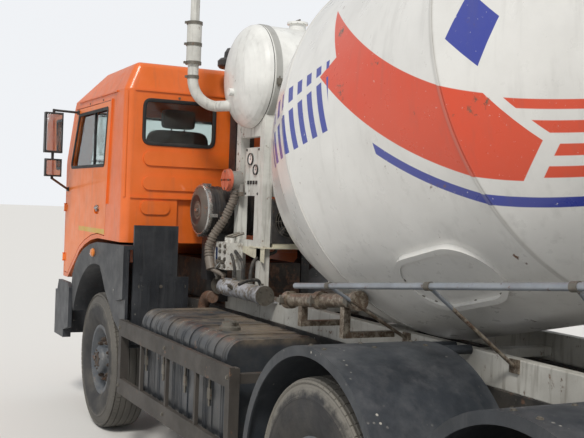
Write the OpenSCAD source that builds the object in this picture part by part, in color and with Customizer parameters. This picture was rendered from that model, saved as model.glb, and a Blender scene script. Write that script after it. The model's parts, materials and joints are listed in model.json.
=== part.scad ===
// Concrete mixer truck: three-axle cab-over lorry chassis with a rear-discharge mixing drum.
// Millimetres. +X points forward, +Y to the truck's left, +Z up. The ground is at Z = 0.

/* [Chassis] */
// Front axle behind the bumper's face
front_overhang = 1360; // [1300:10:1400]
// Front axle to first rear axle
wheelbase = 3720; // [3700:10:3800]
// Between the two rear axles
bogie = 1350; // [1350:10:1380]
// Outside width of the frame rails
frame_w = 860; // [840:5:880]
// Top of the frame rails above the ground
frame_top = 1020; // [1000:5:1040]
// Depth of a frame rail
rail_h = 270; // [240:5:290]
// Thickness of a frame rail's web and flanges
rail_t = 8; // [6:1:12]
// Height of the mixer's subframe
subframe_h = 150; // [140:5:160]

/* [Wheels] */
// Tyre diameter
tyre_d = 1056; // [1020:2:1060]
// Tyre width
tyre_w = 278; // [260:2:290]
// Rim diameter at the tyre's bead
bead_d = 508; // [480:2:540]
// Track of the front wheels
front_track = 2030; // [2000:5:2060]
// Track between the middles of the rear pairs
rear_track = 1850; // [1840:5:1870]
// Spacing of the two tyres in a rear pair
twin_gap = 318; // [305:1:325]
// Kingpin inboard of the front wheel's middle
kingpin_in = 210; // [200:5:230]

/* [Cab] */
// Width of the cab
cab_w = 2320; // [2280:10:2340]
// Length of the cab
cab_l = 1900; // [1880:10:1940]
// Rear wall of the cab behind the front axle
cab_rear_back = 590; // [560:5:620]
// Underside of the cab floor
cab_sill_z = 1478; // [1474:2:1490]
// Seam between the cab's walls and its roof
roof_seam_z = 2590; // [2580:5:2620]
// Top of the roof
roof_z = 2810; // [2790:5:2850]
// Thickness of the cab's walls and doors
cab_wall = 50; // [40:2:60]
// Gap all round a door or flap
door_gap = 6; // [5:1:10]

/* [Mixer] */
// Largest radius of the drum
drum_r = 1055; // [1000:5:1080]
// Slope of the drum's axis
drum_tilt = 12.85; // [12:0.05:13.5]
// Length of the drum from front head to mouth
drum_l = 4400; // [4380:10:4420]
// Front head of the drum behind the front axle
drum_head_back = 1950; // [1930:5:1970]
// Clearance between the drum's underside and the subframe
drum_clear = 16; // [12:2:40]
// Thickness of the drum's steel
drum_t = 10; // [6:1:14]
// Outer radius of the drum's mouth
mouth_r = 560; // [540:5:580]
// Outer radius of the ring that runs on the rollers
ring_r = 865; // [860:1:880]
// Radius of a support roller
roller_r = 130; // [120:1:140]
// Radius of the water tank
tank_r = 360; // [340:5:370]
// Length of the water tank across the truck
tank_l = 1220; // [1180:10:1260]

/* [Chute] */
// Chute's post behind the drum's mouth
chute_offset = 221; // [200:1:240]
// Radius of the chute's trough
chute_r = 230; // [210:5:240]
// Length of the main chute
chute_l = 1180; // [1150:10:1200]
// Length of the folding extension
extension_l = 760; // [700:10:780]
// Thickness of the chute's sheet
chute_t = 6; // [4:1:8]

/* [Hidden] */
$fn = 48;

// Clearance between pieces that only touch
fit = 0.3;
// Rear end of the frame rails ahead of the chute's post
post_gap = 391;
orange = "darkorange";
white = "whitesmoke";
black = [0.12, 0.12, 0.13];
steel = [0.45, 0.46, 0.48];
rust = [0.42, 0.26, 0.18];

// The chute parks swung to the right, its far corner at the truck's rearmost point
chute_yaw = 75;
chute_slope = 8;
chute_back = 180;
fold_z = 8;
chute_reach = chute_r * sin(chute_yaw)
    + cos(chute_yaw) * ((chute_l - chute_back) * cos(chute_slope) + 2 * fold_z * sin(chute_slope));

// Places along the truck, whose middle is at X = 0
overall_l = front_overhang + drum_head_back + drum_l * cos(drum_tilt) + chute_offset + chute_reach;
front_x = overall_l / 2;
rear_x = -overall_l / 2;
axle_x = front_x - front_overhang;
rear1_x = axle_x - wheelbase;
rear2_x = rear1_x - bogie;
bogie_x = (rear1_x + rear2_x) / 2;
rear_axle_xs = [rear1_x, rear2_x];
axle_z = tyre_d / 2;
rail_y = frame_w / 2;
rail_front_x = axle_x + 1140;
chute_x = rear_x + chute_reach;
rail_rear_x = chute_x + post_gap;
deck_z = frame_top + subframe_h;

// Frame rail
flange_w = 80;
crossmember_xs = [rail_front_x - 60, axle_x - 1660, axle_x - 2540, axle_x - 3190, bogie_x, rear2_x - 620,
    rail_rear_x + 50];

// Ends of the cab, edges of its doors and the pivot it tilts about
cab_rear = axle_x - cab_rear_back;
cab_front = cab_rear + cab_l;
cab_side_y = cab_w / 2;
cab_low_z = cab_sill_z - 388;
door_front = cab_front - 175;
door_rear = cab_rear + 380;
pivot = [cab_front - 150, 0, cab_low_z + 25];

// Front face of the drum, and the middle of its mouth, seen from the side. The drum hangs just clear of the subframe
subframe_w = 60;
dish_l = 1086;
drum_head_z = deck_z + drum_clear - dish_l * sin(drum_tilt)
    + sqrt(pow(drum_r, 2) - pow(rail_y - subframe_w, 2)) * cos(drum_tilt);
drum_head = [axle_x - drum_head_back, 0, drum_head_z];
mouth_x = drum_head.x - drum_l * cos(drum_tilt);
mouth_z = drum_head.z + drum_l * sin(drum_tilt);

// Helpers
module box(low, high) translate(low) cube(high - low);
module across(y0, y1) translate([0, y1, 0]) rotate([90, 0, 0]) linear_extrude(y1 - y0) children();
module along(x0, x1) translate([x0, 0, 0]) rotate([90, 0, 90]) linear_extrude(x1 - x0) children();
module both_sides() {
    children();
    mirror([0, 1, 0]) children();
}
module cyl_y(x, z, y0, y1, r) translate([x, y0, z]) rotate([-90, 0, 0]) cylinder(h = y1 - y0, r = r);
module cyl_x(y, z, x0, x1, r) translate([x0, y, z]) rotate([0, 90, 0]) cylinder(h = x1 - x0, r = r);
module rounded(w, h, r) {
    translate([r, 0]) square([w - 2 * r, h]);
    translate([0, r]) square([w, h - 2 * r]);
    for (x = [r, w - r], y = [r, h - r]) translate([x, y]) circle(r);
}
// A straight bar between two points
module bar(a, b, r) {
    v = b - a;
    n = norm(v);
    translate(a) rotate([0, acos(v.z / n), atan2(v.y, v.x)]) cylinder(h = n, r = r);
}

module frame_rails() color(black) {
    both_sides() along(rail_rear_x, rail_front_x) difference() {
        translate([rail_y - flange_w, frame_top - rail_h]) square([flange_w, rail_h]);
        translate([rail_y - flange_w - 1, frame_top - rail_h + rail_t])
            square([flange_w - rail_t + 1, rail_h - 2 * rail_t]);
    }
    difference() {
        for (x = crossmember_xs)
            box([x - 40, -rail_y + rail_t / 2, frame_top - (x < rear2_x - 700 ? 230 : 150)],
                [x + 40, rail_y - rail_t / 2, frame_top - 40]);
        for (y = [-80, 80], z = [-50, 50]) cyl_x(y, coupling_z + z, rail_rear_x, rail_rear_x + 100, 10.5);
    }
}
coupling_z = 870;

// Mixer subframe
subframe_front_x = axle_x - 840;
subframe_cross_xs = [subframe_front_x - 100, axle_x - 1440, axle_x - 2440, axle_x - 3440, bogie_x, rear2_x - 320,
    rail_rear_x + 20];
module subframe() color(white) {
    both_sides() box([rail_rear_x, rail_y - subframe_w, frame_top + fit], [subframe_front_x, rail_y, deck_z]);
    for (x = subframe_cross_xs)
        box([x, -rail_y + subframe_w - 5, frame_top + 28], [x + 80, rail_y - subframe_w + 5, frame_top + 75]);
}

// Bumper: a hollow beam with taller end plates outside the cab, and a recess for each headlamp
bumper_w = cab_w + 80;
bumper_z = [cab_low_z - 520, cab_low_z - 131];
bumper_t = 160;
bumper_end_l = 370;
lamp_y = 900;
lamp_size = [60, 360, 160];
lamp_z = bumper_z[0] + 130;
module bumper_plan() {
    difference() {
        translate([front_x - 520, -bumper_w / 2]) rounded(520, bumper_w, 110);
        translate([front_x - 530 - bumper_t, -bumper_w / 2 + 70]) rounded(530, bumper_w - 140, 60);
        translate([front_x - 540, -bumper_w / 2 - 1]) square([120, bumper_w + 2]);
    }
}
module front_bumper() color(black) difference() {
    union() {
        translate([0, 0, bumper_z[0]]) linear_extrude(bumper_z[1] - bumper_z[0]) bumper_plan();
        both_sides() box([rail_front_x + fit, rail_y - flange_w, 760], [front_x - bumper_t + 10, rail_y, 900]);
        both_sides() across(cab_side_y + 8, bumper_w / 2) polygon([[front_x - 590, bumper_z[0] + 110],
            [front_x - 160, bumper_z[0]], [front_x - 160, bumper_z[1]], [front_x - 210, bumper_z[1] + 100],
            [front_x - 530, bumper_z[1] + 100], [front_x - 590, bumper_z[1] + 60]]);
    }
    both_sides() translate([front_x - lamp_size.x, lamp_y - 5 - lamp_size.y / 2, lamp_z - 5])
        cube(lamp_size + [20, 10, 10]);
    translate([front_x - bumper_t - 10, 0, 700]) rotate([0, 90, 0]) cylinder(h = bumper_t + 20, d = 60);
    for (y = [-350, 0, 350]) box([front_x - bumper_t - 11, y - 150, bumper_z[1] - 140],
        [front_x + 1, y + 150, bumper_z[1] - 70]);
}

// Lamps: head lamps in the bumper, markers on the wings and clusters on the underrun bar
rear_lamp_ys = [850, 945, 1040];
module lamps() color("lightyellow") both_sides() {
    translate([front_x - lamp_size.x + fit, lamp_y - lamp_size.y / 2, lamp_z]) cube([30, lamp_size.y, lamp_size.z]);
    for (y = [-85, 85]) translate([front_x - lamp_size.x + 29, lamp_y + y, lamp_z + lamp_size.z / 2])
        rotate([0, 90, 0]) rotate_extrude() polygon([[0, 0], [68, 0], [66, 10], [40, 18], [0, 21]]);
    translate([axle_x + 86, cab_side_y + 21, wing_top - 100]) rotate([-90, 0, 0])
        rotate_extrude() polygon([[0, -0.5], [34, -0.5], [34, 10], [24, 20], [0, 22]]);
    for (y = rear_lamp_ys) box([post_x[0] - 24, y, underrun_z[1] + 20], [post_x[0] - 10.3, y + 80, underrun_z[1] + 125]);
}

// Front axle and steering
kingpin_y = front_track / 2 - kingpin_in;
spring_y = rail_y - flange_w / 2;
beam_h = 95;
module front_axle() color(steel) {
    both_sides() {
        box([axle_x - 45, -1, axle_z - 150], [axle_x + 45, spring_y + 60, axle_z - 150 + beam_h]);
        along(axle_x - 45, axle_x + 45) polygon([[spring_y + 40, axle_z - 150], [kingpin_y - 60, axle_z - 45],
            [kingpin_y - 60, axle_z + 45], [spring_y + 40, axle_z - 150 + beam_h]]);
        box([axle_x - 45, kingpin_y - 61, axle_z - 45], [axle_x + 45, kingpin_y, axle_z + 45]);
        translate([axle_x, kingpin_y, axle_z - 45]) cylinder(h = 90, r = 45);
        translate([axle_x, kingpin_y, axle_z - 96]) cylinder(h = 192, r = kingpin_r);
    }
}
kingpin_r = 20;
yoke_gap = 2;
spindle_end_y = front_track / 2 + 20.5;
module knuckle() difference() {
    knuckle_body();
    translate([axle_x, kingpin_y, axle_z - 100]) cylinder(h = 200, r = kingpin_r + fit);
}
module knuckle_body() {
    for (z0 = [axle_z - 45 - yoke_gap - 45, axle_z + 45 + yoke_gap]) {
        translate([axle_x, kingpin_y, z0]) cylinder(h = 45, r = 48);
        box([axle_x - 48, kingpin_y, z0], [axle_x + 48, kingpin_y + 80, z0 + 45]);
    }
    box([axle_x - 60, kingpin_y + 55, axle_z - 92], [axle_x + 60, kingpin_y + 80, axle_z + 92]);
    cyl_y(axle_x, axle_z, kingpin_y + 79, kingpin_y + 110, 150);
    cyl_y(axle_x, axle_z, kingpin_y + 100, spindle_end_y, 45);
    box([axle_x - 190, kingpin_y - 20, axle_z - 92], [axle_x - 30, kingpin_y + 20, axle_z - 62]);
}
module knuckle_left() color(steel) knuckle();
module knuckle_right() color(steel) mirror([0, 1, 0]) knuckle();

// Wheels: a section in radius and height, turned about the wheel's own axle
rim_w = 210;
rim_r = bead_d / 2;
module tyre_section() {
    r = tyre_d / 2;
    w = tyre_w / 2;
    polygon([[rim_r + fit, -rim_w / 2 + 12], [rim_r + 70, -w + 6], [rim_r + 140, -w], [r - 60, -w + 10],
        [r - 14, -w + 32], [r, -w + 60], [r, w - 60], [r - 14, w - 32], [r - 60, w - 10], [rim_r + 140, w],
        [rim_r + 70, w - 6], [rim_r + fit, rim_w / 2 - 12]]);
}
module rim_section() {
    polygon([[rim_r, -rim_w / 2 + 12], [rim_r + 16, -rim_w / 2 + 10], [rim_r + 16, -rim_w / 2],
        [rim_r - 12, -rim_w / 2], [rim_r - 12, rim_w / 2], [rim_r + 16, rim_w / 2], [rim_r + 16, rim_w / 2 - 10],
        [rim_r, rim_w / 2 - 12]]);
}
// Front disc bulges outward; its hub starts just past the end of the spindle
module front_wheel() translate([axle_x, front_track / 2, axle_z]) rotate([-90, 0, 0]) {
    rotate_extrude() tyre_section();
    difference() {
        rotate_extrude() {
            rim_section();
            polygon([[0, 21], [140, 21], [170, 40], [rim_r - 11, 10], [rim_r - 11, 24], [180, 56], [130, 60],
                [110, 60], [105, 115], [80, 130], [0, 130]]);
        }
        for (a = [0 : 45 : 315]) rotate(a + 22) translate([205, 0, -50]) cylinder(h = 150, r = 24);
    }
}
module wheel_front_left() color(black) front_wheel();
module wheel_front_right() color(black) mirror([0, 1, 0]) front_wheel();

axle_tube_r = 72;
axle_end_y = rear_track / 2 - twin_gap / 2 - tyre_w / 2 + 60;
module rear_wheel(x) translate([x, rear_track / 2, axle_z]) rotate([-90, 0, 0]) {
    for (z = [-twin_gap / 2, twin_gap / 2]) translate([0, 0, z]) rotate_extrude() tyre_section();
    difference() {
        rotate_extrude() {
            for (z = [-twin_gap / 2, twin_gap / 2]) translate([0, z]) rim_section();
            translate([0, axle_end_y + 0.5 - rear_track / 2]) square([150, rear_track / 2 - axle_end_y + 12]);
            polygon([[0, -14], [180, -14], [rim_r - 11, -twin_gap / 2 + 70], [rim_r - 11, -twin_gap / 2 + 90],
                [190, 0], [rim_r - 11, twin_gap / 2 - 90], [rim_r - 11, twin_gap / 2 - 70], [180, 14], [125, 14],
                [115, 150], [85, 190], [0, 190]]);
        }
        for (a = [0 : 45 : 315]) rotate(a) translate([212, 0, -90]) cylinder(h = 180, r = 20);
    }
}
module wheel_rear_1_left() color(black) rear_wheel(rear1_x);
module wheel_rear_1_right() color(black) mirror([0, 1, 0]) rear_wheel(rear1_x);
module wheel_rear_2_left() color(black) rear_wheel(rear2_x);
module wheel_rear_2_right() color(black) mirror([0, 1, 0]) rear_wheel(rear2_x);

diff_r = 205;
pinion_l = 290;
module rear_axles() color(steel) for (x = rear_axle_xs) {
    cyl_y(x, axle_z, -axle_end_y, axle_end_y, axle_tube_r);
    translate([x, 0, axle_z]) sphere(diff_r);
    cyl_x(0, axle_z + 40, x, x + pinion_l, 95);
}

// Leaf springs: each pack is one tapered bow of leaves
spring_z = axle_z - 150 + beam_h + fit;
rear_spring_y = [rail_y + 12, rail_y + 92];
rear_spring_z = axle_z + axle_tube_r + fit;
module leaf_springs() color(black) both_sides() {
    across(spring_y - 40, spring_y + 40) polygon([[axle_x - 90, spring_z], [axle_x + 90, spring_z],
        [axle_x + 100, spring_z + 60], [axle_x + 700, spring_z + 190], [axle_x + 700, spring_z + 215],
        [axle_x, spring_z + 110], [axle_x - 700, spring_z + 215], [axle_x - 700, spring_z + 190],
        [axle_x - 100, spring_z + 60]]);
    for (x = [axle_x - 690, axle_x + 690])
        box([x - 30, spring_y - 35, spring_z + 195], [x + 30, spring_y + 35, frame_top - rail_h - fit]);
    across(rear_spring_y[0], rear_spring_y[1]) polygon([[rear2_x - 60, rear_spring_z], [rear2_x + 60, rear_spring_z],
        [rear2_x + 120, rear_spring_z + 18], [bogie_x - 100, rear_spring_z + 40], [bogie_x + 100, rear_spring_z + 40],
        [rear1_x - 120, rear_spring_z + 18], [rear1_x - 60, rear_spring_z], [rear1_x + 60, rear_spring_z],
        [rear1_x + 60, rear_spring_z + 28], [bogie_x + 120, rear_spring_z + 175],
        [bogie_x - 120, rear_spring_z + 175], [rear2_x - 60, rear_spring_z + 28]]);
    box([bogie_x - 110, rail_y + fit, rear_spring_z + 60], [bogie_x + 110, rear_spring_y[0] + 10, frame_top - 30]);
}

// Engine with gearbox, and the radiator in front of it
module engine() color(steel) {
    box([axle_x - 560, -330, 620], [axle_x + 600, 330, 1330]);
    box([gearbox_rear_x, -190, 640], [axle_x - 559, 190, 1040]);
    box([axle_x + 630, -330, 700], [axle_x + 690, 330, 1270]);
    both_sides() box([axle_x + 599, 250, 720], [axle_x + 631, 300, 760]);
    both_sides() for (x = [axle_x - 300, axle_x + 300])
        box([x, 320, 780], [x + 80, rail_y - rail_t - fit, 860]);
}
gearbox_rear_x = axle_x - 1480;

module prop_shafts() color(steel) {
    prop_shaft([gearbox_rear_x - 0.5, 0, axle_z + 260], [rear1_x + pinion_l + 0.5, 0, axle_z + 40], 55);
    prop_shaft([rear1_x - diff_r - 0.5, 0, axle_z + 20], [rear2_x + pinion_l + 0.5, 0, axle_z + 40], 50);
}
// A sloping shaft from a back to b, its ends cut square to the truck
module prop_shaft(a, b, r) difference() {
    bar(a + 0.02 * (a - b), b - 0.02 * (a - b), r);
    box([a.x, -200, 0], [a.x + 200, 200, 2000]);
    box([b.x - 200, -200, 0], [b.x, 200, 2000]);
}

// Fuel tank on the left, boxes and air tanks on the right
fuel_x = [axle_x - 2610, axle_x - 1120];
fuel_y = [560, 1150];
fuel_z = [450, 1055];
strap_xs = [axle_x - 2430, axle_x - 2040, axle_x - 1650, axle_x - 1300];
module fuel_tank() color(black) {
    translate([fuel_x[0], fuel_y[0], fuel_z[0]]) rotate([90, 0, 90])
        linear_extrude(fuel_x[1] - fuel_x[0]) rounded(fuel_y[1] - fuel_y[0], fuel_z[1] - fuel_z[0], 100);
    for (x = strap_xs) {
        translate([x, fuel_y[0] - 6, fuel_z[0] - 6]) rotate([90, 0, 90])
            linear_extrude(50) rounded(fuel_y[1] - fuel_y[0] + 12, fuel_z[1] - fuel_z[0] + 12, 105);
        box([x, rail_y + fit, fuel_z[0] + 320], [x + 50, fuel_y[0], fuel_z[0] + 500]);
    }
}
battery_x = [axle_x - 1740, axle_x - 1140];
air_tank_x = [axle_x - 2590, axle_x - 1840];
air_tank_y = -800;
air_tank_r = 125;
air_tank_zs = [600, 880];
module side_boxes() color(black) {
    box([battery_x[0], -1140, 480], [battery_x[1], -rail_y - fit, 980]);
    box([battery_x[0] - 6, -1146, 860], [battery_x[1] + 6, -700, 960]);
    for (z = air_tank_zs) cyl_x(air_tank_y, z, air_tank_x[0], air_tank_x[1], air_tank_r);
    for (x = [air_tank_x[0] + 100, air_tank_x[1] - 150]) {
        box([x, air_tank_y, air_tank_zs[0] - 10], [x + 40, -rail_y - fit, air_tank_zs[1] + 10]);
        for (z = air_tank_zs) cyl_x(air_tank_y, z, x - 5, x + 45, air_tank_r + 5);
    }
}

// Side guards: two rails joined by upright slats, on arms from the frame
guard_y = [1175, 1205];
guard_x = [axle_x - 2780, axle_x - 760];
guard_top = [830, 940];
guard_low = [420, 530];
module side_guards() color(steel) both_sides() {
    for (z = [guard_top, guard_low]) box([guard_x[0], guard_y[0], z[0]], [guard_x[1], guard_y[1], z[1]]);
    for (x = [guard_x[0], guard_x[1] - 60])
        box([x, guard_y[0] - 30, guard_low[0] + 10], [x + 60, guard_y[1] - 2, guard_top[1] - 5]);
    for (i = [1 : 3]) {
        x = guard_x[0] + i * (guard_x[1] - guard_x[0]) / 4;
        box([x - 14, guard_y[0] + 4, guard_low[0] + 10], [x + 14, guard_y[1] - 4, guard_top[1] - 10]);
    }
    for (x = [guard_x[0] + 10, guard_x[1] - 260])
        box([x, rail_y + fit, 850], [x + 50, guard_y[0] + 5, 900]);
}

// Front wings: a moulding over the wheel, a curved mudguard behind it and a ribbed splash panel.
// The moulding's outer edge, as distance from the axle and drop below its top
wing_y = [cab_side_y - 290, cab_side_y + 20];
wing_top = cab_sill_z - 16;
wing_rear_x = axle_x - 730;
wing_edge = [[0, 12], [220, 42], [417, 94], [573, 167], [667, 234], [743, 322], [766, 412], [745, 502], [690, 630]];
arch_r = 750;
skirt = [[26, 786], [-105, 671], [-209, 560], [-472, 368], [-662, 284], [-742, 262], [-742, 900], [26, 900]];
splash_y = [cab_side_y - 470, cab_side_y - 50];
splash_z = [750, 1240, 1610];
module front_wings() color(black) both_sides() {
    difference() {
        across(wing_y[0], wing_y[1]) polygon(concat([[wing_rear_x, axle_z + arch_r - 200], [wing_rear_x, wing_top]],
            [for (p = wing_edge) [axle_x + p[0], wing_top - p[1]]]));
        cyl_y(axle_x, axle_z, wing_y[0] - 1, wing_y[1] + 1, arch_r);
        box([wing_rear_x - 1, wing_y[0] - 1, 0], [axle_x - 300, wing_y[1] - 30, wing_top - 30]);
        box([axle_x - 500, wing_y[0] - 1, axle_z + arch_r - 60], [axle_x + 120, wing_y[1] - 30, wing_top - 42]);
    }
    difference() {
        across(cab_side_y - 20, cab_side_y) polygon([for (p = skirt) [axle_x + p[0], axle_z + p[1]]]);
        cyl_y(axle_x, axle_z, 0, cab_side_y + 1, 560);
    }
    translate([axle_x, cab_side_y - 5, axle_z]) rotate([90, 0, 0]) rotate([0, 0, 91])
        rotate_extrude(angle = 74, $fn = 72) translate([arch_r + 3, 0]) square([12, cab_side_y - 705]);
    box([wing_rear_x - 24, splash_y[0] + 90, splash_z[1] - 1], [wing_rear_x + 2, splash_y[1], splash_z[2]]);
    box([wing_rear_x - 24, splash_y[0], splash_z[0]], [wing_rear_x + 2, splash_y[1], splash_z[1]]);
    for (y = [splash_y[0] + 30 : 65 : splash_y[1] - 20])
        box([wing_rear_x - 32, y, splash_z[0] + 20], [wing_rear_x - 23, y + 18, splash_z[1] - 30]);
    for (y = [splash_y[0] + 130, splash_y[1] - 60])
        box([wing_rear_x - 32, y, splash_z[1] + 20], [wing_rear_x - 23, y + 18, splash_z[2] - 30]);
    box([wing_rear_x - 20, rail_y + fit, splash_z[0] + 40], [wing_rear_x, splash_y[0] + 5, splash_z[0] + 90]);
    box([axle_x + 700, rail_y + fit, 820], [axle_x + 740, wing_y[0] + 30, 870]);
    box([axle_x + 700, wing_y[0] + 2, 820], [axle_x + 740, wing_y[0] + 30, wing_top - 300]);
}

// Rear fenders: half-round, one over each rear pair
fender_r = 665;
fender_t = 10;
fender_y = [590, 1245];
fender_arc = 170;
bracket_r = 22;
module rear_fenders() color(black) both_sides() for (x = rear_axle_xs) {
    translate([x, fender_y[1], axle_z]) rotate([90, 0, 0]) rotate([0, 0, (180 - fender_arc) / 2])
        rotate_extrude(angle = fender_arc, $fn = 72) {
            translate([fender_r - fender_t, 0]) square([fender_t, fender_y[1] - fender_y[0]]);
            translate([fender_r - 45, 0]) square([45, 10]);
        }
    for (dx = [-60, 60])
        cyl_y(x + dx, axle_z + fender_r - fender_t - bracket_r + 3, rail_y + fit, fender_y[1] - 40, bracket_r);
}

// Cab mounts: blocks behind the front pivot, and posts under the rear of the cab
mount_y = [rail_y - 55, rail_y - 25];
mount_r = 18;
tilt_pin_r = 10;
module cab_mounts() color(steel) both_sides() {
    box([pivot.x - 130, rail_y - flange_w + 5, frame_top + fit], [pivot.x - 55, rail_y - 5, cab_low_z - fit]);
    box([pivot.x - 60, mount_y[0], frame_top + fit], [pivot.x + mount_r, mount_y[1], pivot.z - 40]);
    box([pivot.x - mount_r, mount_y[0], frame_top + fit], [pivot.x + mount_r, mount_y[1], pivot.z]);
    cyl_y(pivot.x, pivot.z, mount_y[0], mount_y[1], mount_r);
    cyl_y(pivot.x, pivot.z, mount_y[0] - 25, mount_y[1] + 25, tilt_pin_r);
    box([cab_rear + 60, rail_y - flange_w + 5, frame_top + fit], [cab_rear + 140, rail_y - 5, cab_sill_z - fit]);
}

// Air cleaner lying across behind the cab, with its intake stack
cleaner_x = axle_x - 830;
cleaner_z = 1735;
cleaner_r = 172;
cleaner_y = [190, 680];
stack_x = axle_x - 745;
stack_y = 300;
cap_y = 380;
module air_cleaner() color(black) {
    translate([cleaner_x, cleaner_y[0], cleaner_z]) rotate([-90, 0, 0]) rotate_extrude() polygon([[0, 0],
        [cleaner_r, 0], [cleaner_r, 400], [cleaner_r + 10, 410], [cleaner_r + 10, 450], [cleaner_r - 40, 480],
        [cleaner_r - 60, 490], [0, 460]]);
    box([stack_x - 60, stack_y - 75, cleaner_z], [stack_x + 60, stack_y + 75, 2620]);
    translate([stack_x, cap_y, 0]) rotate_extrude() polygon([[0, 2580], [62, 2580], [62, 2800], [118, 2800],
        [128, 2815], [128, 2850], [112, 2868], [84, 2872], [80, 2915], [62, 2945], [0, 2955]]);
    box([cleaner_x - 60, 440, deck_z + 60], [cleaner_x + 60, 600, cleaner_z - 100]);
    box([cleaner_x - 60, rail_y + fit, deck_z - 100], [cleaner_x + 60, 520, deck_z + 61]);
}

module exhaust() color(rust) {
    cyl_x(-700, 640, axle_x - 1060, axle_x - 760, 110);
    bar([axle_x - 1100, -1130, 560], [axle_x - 900, -700, 640], 40);
    box([axle_x - 940, -700, 700], [axle_x - 880, -rail_y - fit, 800]);
    translate([axle_x - 890, 575, 1000]) rotate([90, 0, 0]) rotate_extrude(angle = 90) translate([110, 0]) circle(42);
    translate([axle_x - 780, 575, 900]) cylinder(h = 101, r = 42);
    cyl_x(575, 1110, axle_x - 960, axle_x - 889, 42);
    for (z = [925, 985]) translate([axle_x - 780, 575, z]) cylinder(h = 12, r = 54);
    box([axle_x - 805, rail_y + fit, 930], [axle_x - 755, 560, 960]);
}

// Drum's frame: local Z runs up the drum's axis from its front head to its mouth
module in_drum() translate(drum_head) rotate([0, drum_tilt - 90, 0]) children();

// Outline of the drum: front dish, middle barrel, rear cone
head_r = 587;
barrel_l = 1300;
flange_r = 330;
ring_s = 3450;
ring_w = 90;
cone_s = dish_l + barrel_l;
dish = [[0, head_r], [316, 760], [614, 901], [876, 1004], [dish_l, drum_r]];
function drum_outline(e) = concat([for (p = dish) [p[1] - e * (p[0] > 0 ? 1 : 1.4), p[0] + (p[0] > 0 ? 0 : e)]],
    [[drum_r - e, cone_s], [mouth_r - e, drum_l]]);
hatch_a = 142;
hatch_s = dish_l + barrel_l * 0.56;
hatch_size = [640, 380];
module hatch_shape(grow, height) rotate([0, 0, hatch_a]) translate([0, 0, hatch_s]) rotate([0, 90, 0]) {
    w = hatch_size.y / 2 + grow;
    l = hatch_size.x / 2 - hatch_size.y / 2;
    for (s = [-l, l]) translate([s, 0, 0]) cylinder(h = height, r = w);
    translate([-l, -w, 0]) cube([2 * l, 2 * w, height]);
}
// Two helical blades, twisted the way that lifts the load towards the mouth; they narrow with the cone
blade_l = 1150;
blade_turn = 200;
blade_h = 190;
blade_gap = 0.8;
blade_s = drum_l - blade_l - 40;
function cone_r(s) = drum_r + (mouth_r - drum_r) * (s - cone_s) / (drum_l - cone_s);
module drum_blades() color(steel) in_drum() {
    r = cone_r(blade_s) - drum_t - blade_gap;
    k = (cone_r(blade_s + blade_l) - drum_t - blade_gap) / r;
    translate([0, 0, blade_s]) linear_extrude(blade_l, twist = -blade_turn, scale = k, slices = 36, segments = 4)
        for (a = [0, 180]) rotate(a) translate([r - blade_h, 0]) square([blade_h, 9]);
}
module drum_shell() color(white) in_drum() {
    difference() {
        hatch_shape(0, drum_r + 14);
        hatch_shape(-30, drum_r + 20);
        cylinder(h = 3 * drum_l, r = drum_r - 5, center = true);
    }
    intersection() {
        hatch_shape(-29, drum_r + 6);
        difference() {
            cylinder(h = 3 * drum_l, r = drum_r + 6, center = true);
            cylinder(h = 3 * drum_l, r = drum_r - 5, center = true);
        }
    }
    rotate_extrude($fn = 96) difference() {
        union() {
            polygon(concat([[0, 0]], drum_outline(0), [[mouth_r + 25, drum_l], [mouth_r + 25, drum_l + 25],
                [0, drum_l + 25]]));
            translate([flange_r - 330, -40]) square([flange_r, 41]);
            translate([600, ring_s - ring_w / 2]) square([ring_r - 600, ring_w]);
            for (s = [dish_l, cone_s - 8]) translate([drum_r - 20, s]) square([23, 8]);
        }
        polygon(concat([[0, drum_t]], drum_outline(drum_t), [[mouth_r - drum_t, drum_l + 26], [0, drum_l + 26]]));
    }
}

// Rollers lie under the ring, one on each side
roller_a = 32;
roller_w = 110;
roller_d = ring_r + roller_r + fit;
shaft_r = 25;
shaft_l = 200;
roller_x = drum_head.x - ring_s * cos(drum_tilt) - roller_d * cos(roller_a) * sin(drum_tilt);
roller_z = drum_head.z + ring_s * sin(drum_tilt) - roller_d * cos(roller_a) * cos(drum_tilt);
module at_roller(side) in_drum() translate([-roller_d * cos(roller_a), side * roller_d * sin(roller_a), ring_s])
    children();
module roller(side) at_roller(side) {
    translate([0, 0, -roller_w / 2]) cylinder(h = roller_w, r = roller_r);
    translate([0, 0, -shaft_l / 2]) cylinder(h = shaft_l, r = shaft_r);
}
module roller_left() color(steel) roller(1);
module roller_right() color(steel) roller(-1);

module roller_stand() color(white) both_sides() difference() {
    union() {
        at_roller(1) for (s = [-1, 1]) translate([-300, -70, s > 0 ? shaft_l / 2 + 0.5 : -shaft_l / 2 - 30.5])
            cube([350, 140, 30]);
        at_roller(1) translate([-300, -70, -shaft_l / 2 - 30]) cube([120, 140, shaft_l + 60]);
        box([roller_x - 190, 380, roller_z - 350], [roller_x + 140, 640, roller_z - 250]);
        box([roller_x - 140, 350, deck_z + fit], [roller_x + 100, 430, roller_z - 290]);
    }
    box([rail_rear_x, 0, 0], [rear1_x, 900, deck_z + fit]);
}

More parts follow.
